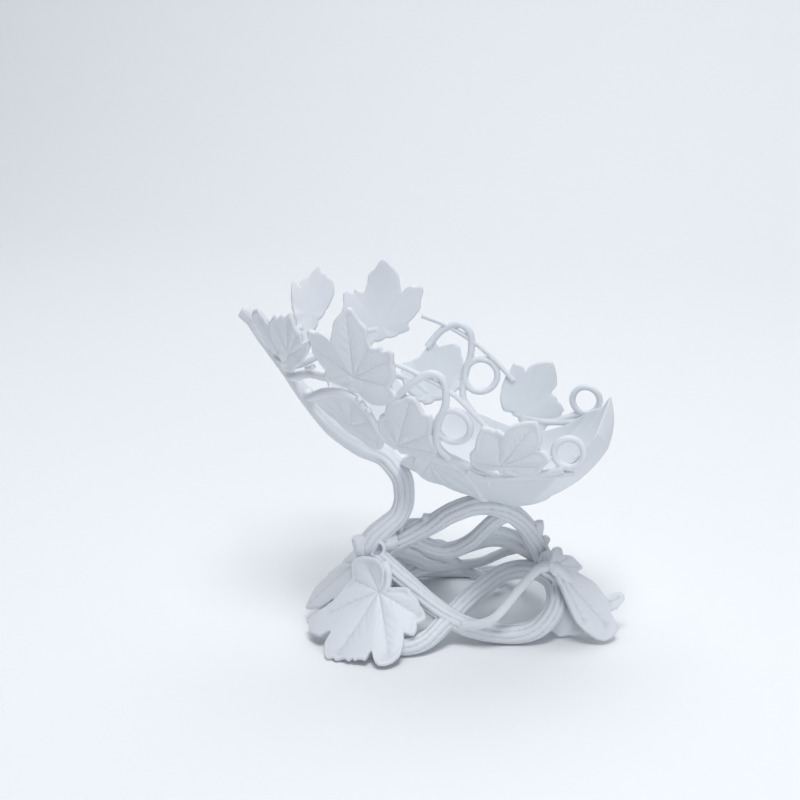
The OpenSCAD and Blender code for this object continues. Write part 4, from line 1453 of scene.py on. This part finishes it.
bodies = [
    fuse("near_side", near_growth + near_leaves, rounds=1),
    fuse("far_side", far_growth + far_leaves, rounds=2),
    fuse("trunk_and_cup", cup + trunk_stems, rounds=3),
    fuse("stand", stand_stems + foot_leaves, rounds=2, hollow=knot_hollow),
]

# %% [markdown]
# ## Painted shade in the hollows
#
# Grooves look deeper with painted shade in them, so they are coloured a touch darker.
# Blurring every point's place over its neighbours shows where the skin is cut in: there the
# blurred place lies outside the skin. The distance, measured along the normal, becomes the
# attribute that the material reads to paint that shade. The same tree flattens what pokes
# below the floor, so that the feet stand on it.

# %% Find the hollows
# Groove depth, in metres, at which the painted shade is full, and the rounds of blurring
HOLLOW_DEPTH = 0.0004
HOLLOW_SPREAD = 6


def make_hollow_tree():
    """A tree that stores how deep in a hollow each point lies, from 0 to 1, for painted shade."""
    tree, given, result = new_geometry_tree("Find the hollows", {
        "Full depth": HOLLOW_DEPTH, "Spread": HOLLOW_SPREAD, "Floor": 0.0,
    })
    here = position(tree)
    normal = add(tree, "GeometryNodeInputNormal").outputs[0]
    blurred = add(tree, "GeometryNodeBlurAttribute", data_type="FLOAT_VECTOR")
    feed(tree, here, blurred.inputs["Value"])
    feed(tree, given.outputs["Spread"], blurred.inputs["Iterations"])
    away = vector_math(tree, "SUBTRACT", blurred.outputs[0], here)
    dot = Flow(tree, vector_math(tree, "DOT_PRODUCT", away, normal))
    deep = dot / Flow(tree, given.outputs["Full depth"])
    deep = deep.math("MAXIMUM", 0.0).math("MINIMUM", 1.0)
    x, y, z = split(tree, here)
    level = z.math("MAXIMUM", given.outputs["Floor"])
    flat = moved(tree, given.outputs["Geometry"], join(tree, x, y, level))
    marked = store(tree, flat, "hollow", deep)
    smooth = add(tree, "GeometryNodeSetShadeSmooth", {"Geometry": marked})
    finish_tree(tree, smooth.outputs[0], given, result)
    return tree


hollow_tree = make_hollow_tree()
for body in bodies:
    run_tree(body, hollow_tree, {
        "Full depth": HOLLOW_DEPTH, "Spread": HOLLOW_SPREAD, "Material": plastic})
    print(body.name, "has", len(body.data.vertices), "points")

# %% [markdown]
# ## Tying the skins to the frame
#
# The holder has no moving part, so all four skins ride on its root. Together they replace the
# one node of the solid model.

# %% Ride on the frame
for body in bodies:
    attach(body, "root")
    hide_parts("holder")
print("Pieces:", [body.name for body in bodies])

# %% [markdown]
# ## Floor
#
# The floor is a pale sheet that curves up behind, so there is no horizon. It is only staged: it
# isn't part of the holder.

# %% Floor and backdrop
FLOOR_COLOUR = (0.865, 0.885, 0.90, 1.0)
FLOOR_ROUGHNESS = 0.7
FLOOR_SHEEN = 0.2
FLOOR_HALF = 1.6
FLOOR_BACK = 0.9
SWEEP_R = 0.5
SWEEP_STEPS = 16
WALL_TOP = 1.6


def make_floor():
    """A floor that sweeps up behind the holder."""
    profile = [(-FLOOR_HALF, 0.0), (FLOOR_BACK, 0.0)]
    for k in range(1, SWEEP_STEPS + 1):
        t = math.pi / 2.0 * k / SWEEP_STEPS
        profile.append((FLOOR_BACK + SWEEP_R * math.sin(t), SWEEP_R - SWEEP_R * math.cos(t)))
    profile.append((FLOOR_BACK + SWEEP_R, WALL_TOP))
    points = [(side * FLOOR_HALF, y, z) for side in (-1, 1) for y, z in profile]
    n = len(profile)
    faces = [(k, n + k, n + k + 1, k + 1) for k in range(n - 1)]
    floor = new_piece("floor", points, faces)
    for face in floor.data.polygons:
        face.use_smooth = True
    material = bpy.data.materials.new("pale floor")
    material.use_nodes = True
    shader = material.node_tree.nodes["Principled BSDF"]
    shader.inputs["Base Color"].default_value = FLOOR_COLOUR
    shader.inputs["Roughness"].default_value = FLOOR_ROUGHNESS
    shader.inputs["Specular IOR Level"].default_value = FLOOR_SHEEN
    floor.data.materials.append(material)
    return floor


floor = make_floor()
print("Floor reaches", FLOOR_BACK + SWEEP_R, "m behind")

# %% [markdown]
# ## Light
#
# A large soft light from above gives the shape and the shadow under the holder. A weaker one
# from the right front fills it, a third one brightens the sheet behind, and a pale world lifts
# the shadows.

# %% Lights
WORLD_COLOUR = (0.86, 0.89, 1.0, 1.0)
WORLD_STRENGTH = 0.26


def soft_light(name, at, aim, size, power, colour):
    """An area light that looks at a point, with its width and height in metres."""
    data = bpy.data.lights.new(name, "AREA")
    data.shape = "RECTANGLE"
    data.size = size[0]
    data.size_y = size[1]
    data.energy = power
    data.color = colour
    light = bpy.data.objects.new(name, data)
    light.location = at
    light.rotation_euler = (Vector(aim) - Vector(at)).to_track_quat("-Z", "Y").to_euler()
    bpy.context.scene.collection.objects.link(light)
    return light


soft_light("key", at=(0.2, -0.6, 1.75), aim=(0.0, 0.0, 0.08), size=(0.7, 0.7), power=18.0,
           colour=(0.99, 0.99, 1.0))
soft_light("fill", at=(1.0, -1.4, 0.40), aim=(0.0, 0.0, 0.05), size=(1.0, 0.7), power=5.5,
           colour=(0.95, 0.97, 1.0))
soft_light("top", at=(-0.1, 0.7, 1.6), aim=(0.0, 0.5, 0.0), size=(1.8, 1.2), power=11.0,
           colour=(0.96, 0.985, 1.0))

world = bpy.data.worlds.new("pale room")
world.use_nodes = True
background = world.node_tree.nodes["Background"]
background.inputs["Color"].default_value = WORLD_COLOUR
background.inputs["Strength"].default_value = WORLD_STRENGTH
bpy.context.scene.world = world
bpy.context.scene.view_settings.view_transform = "Standard"

# %% [markdown]
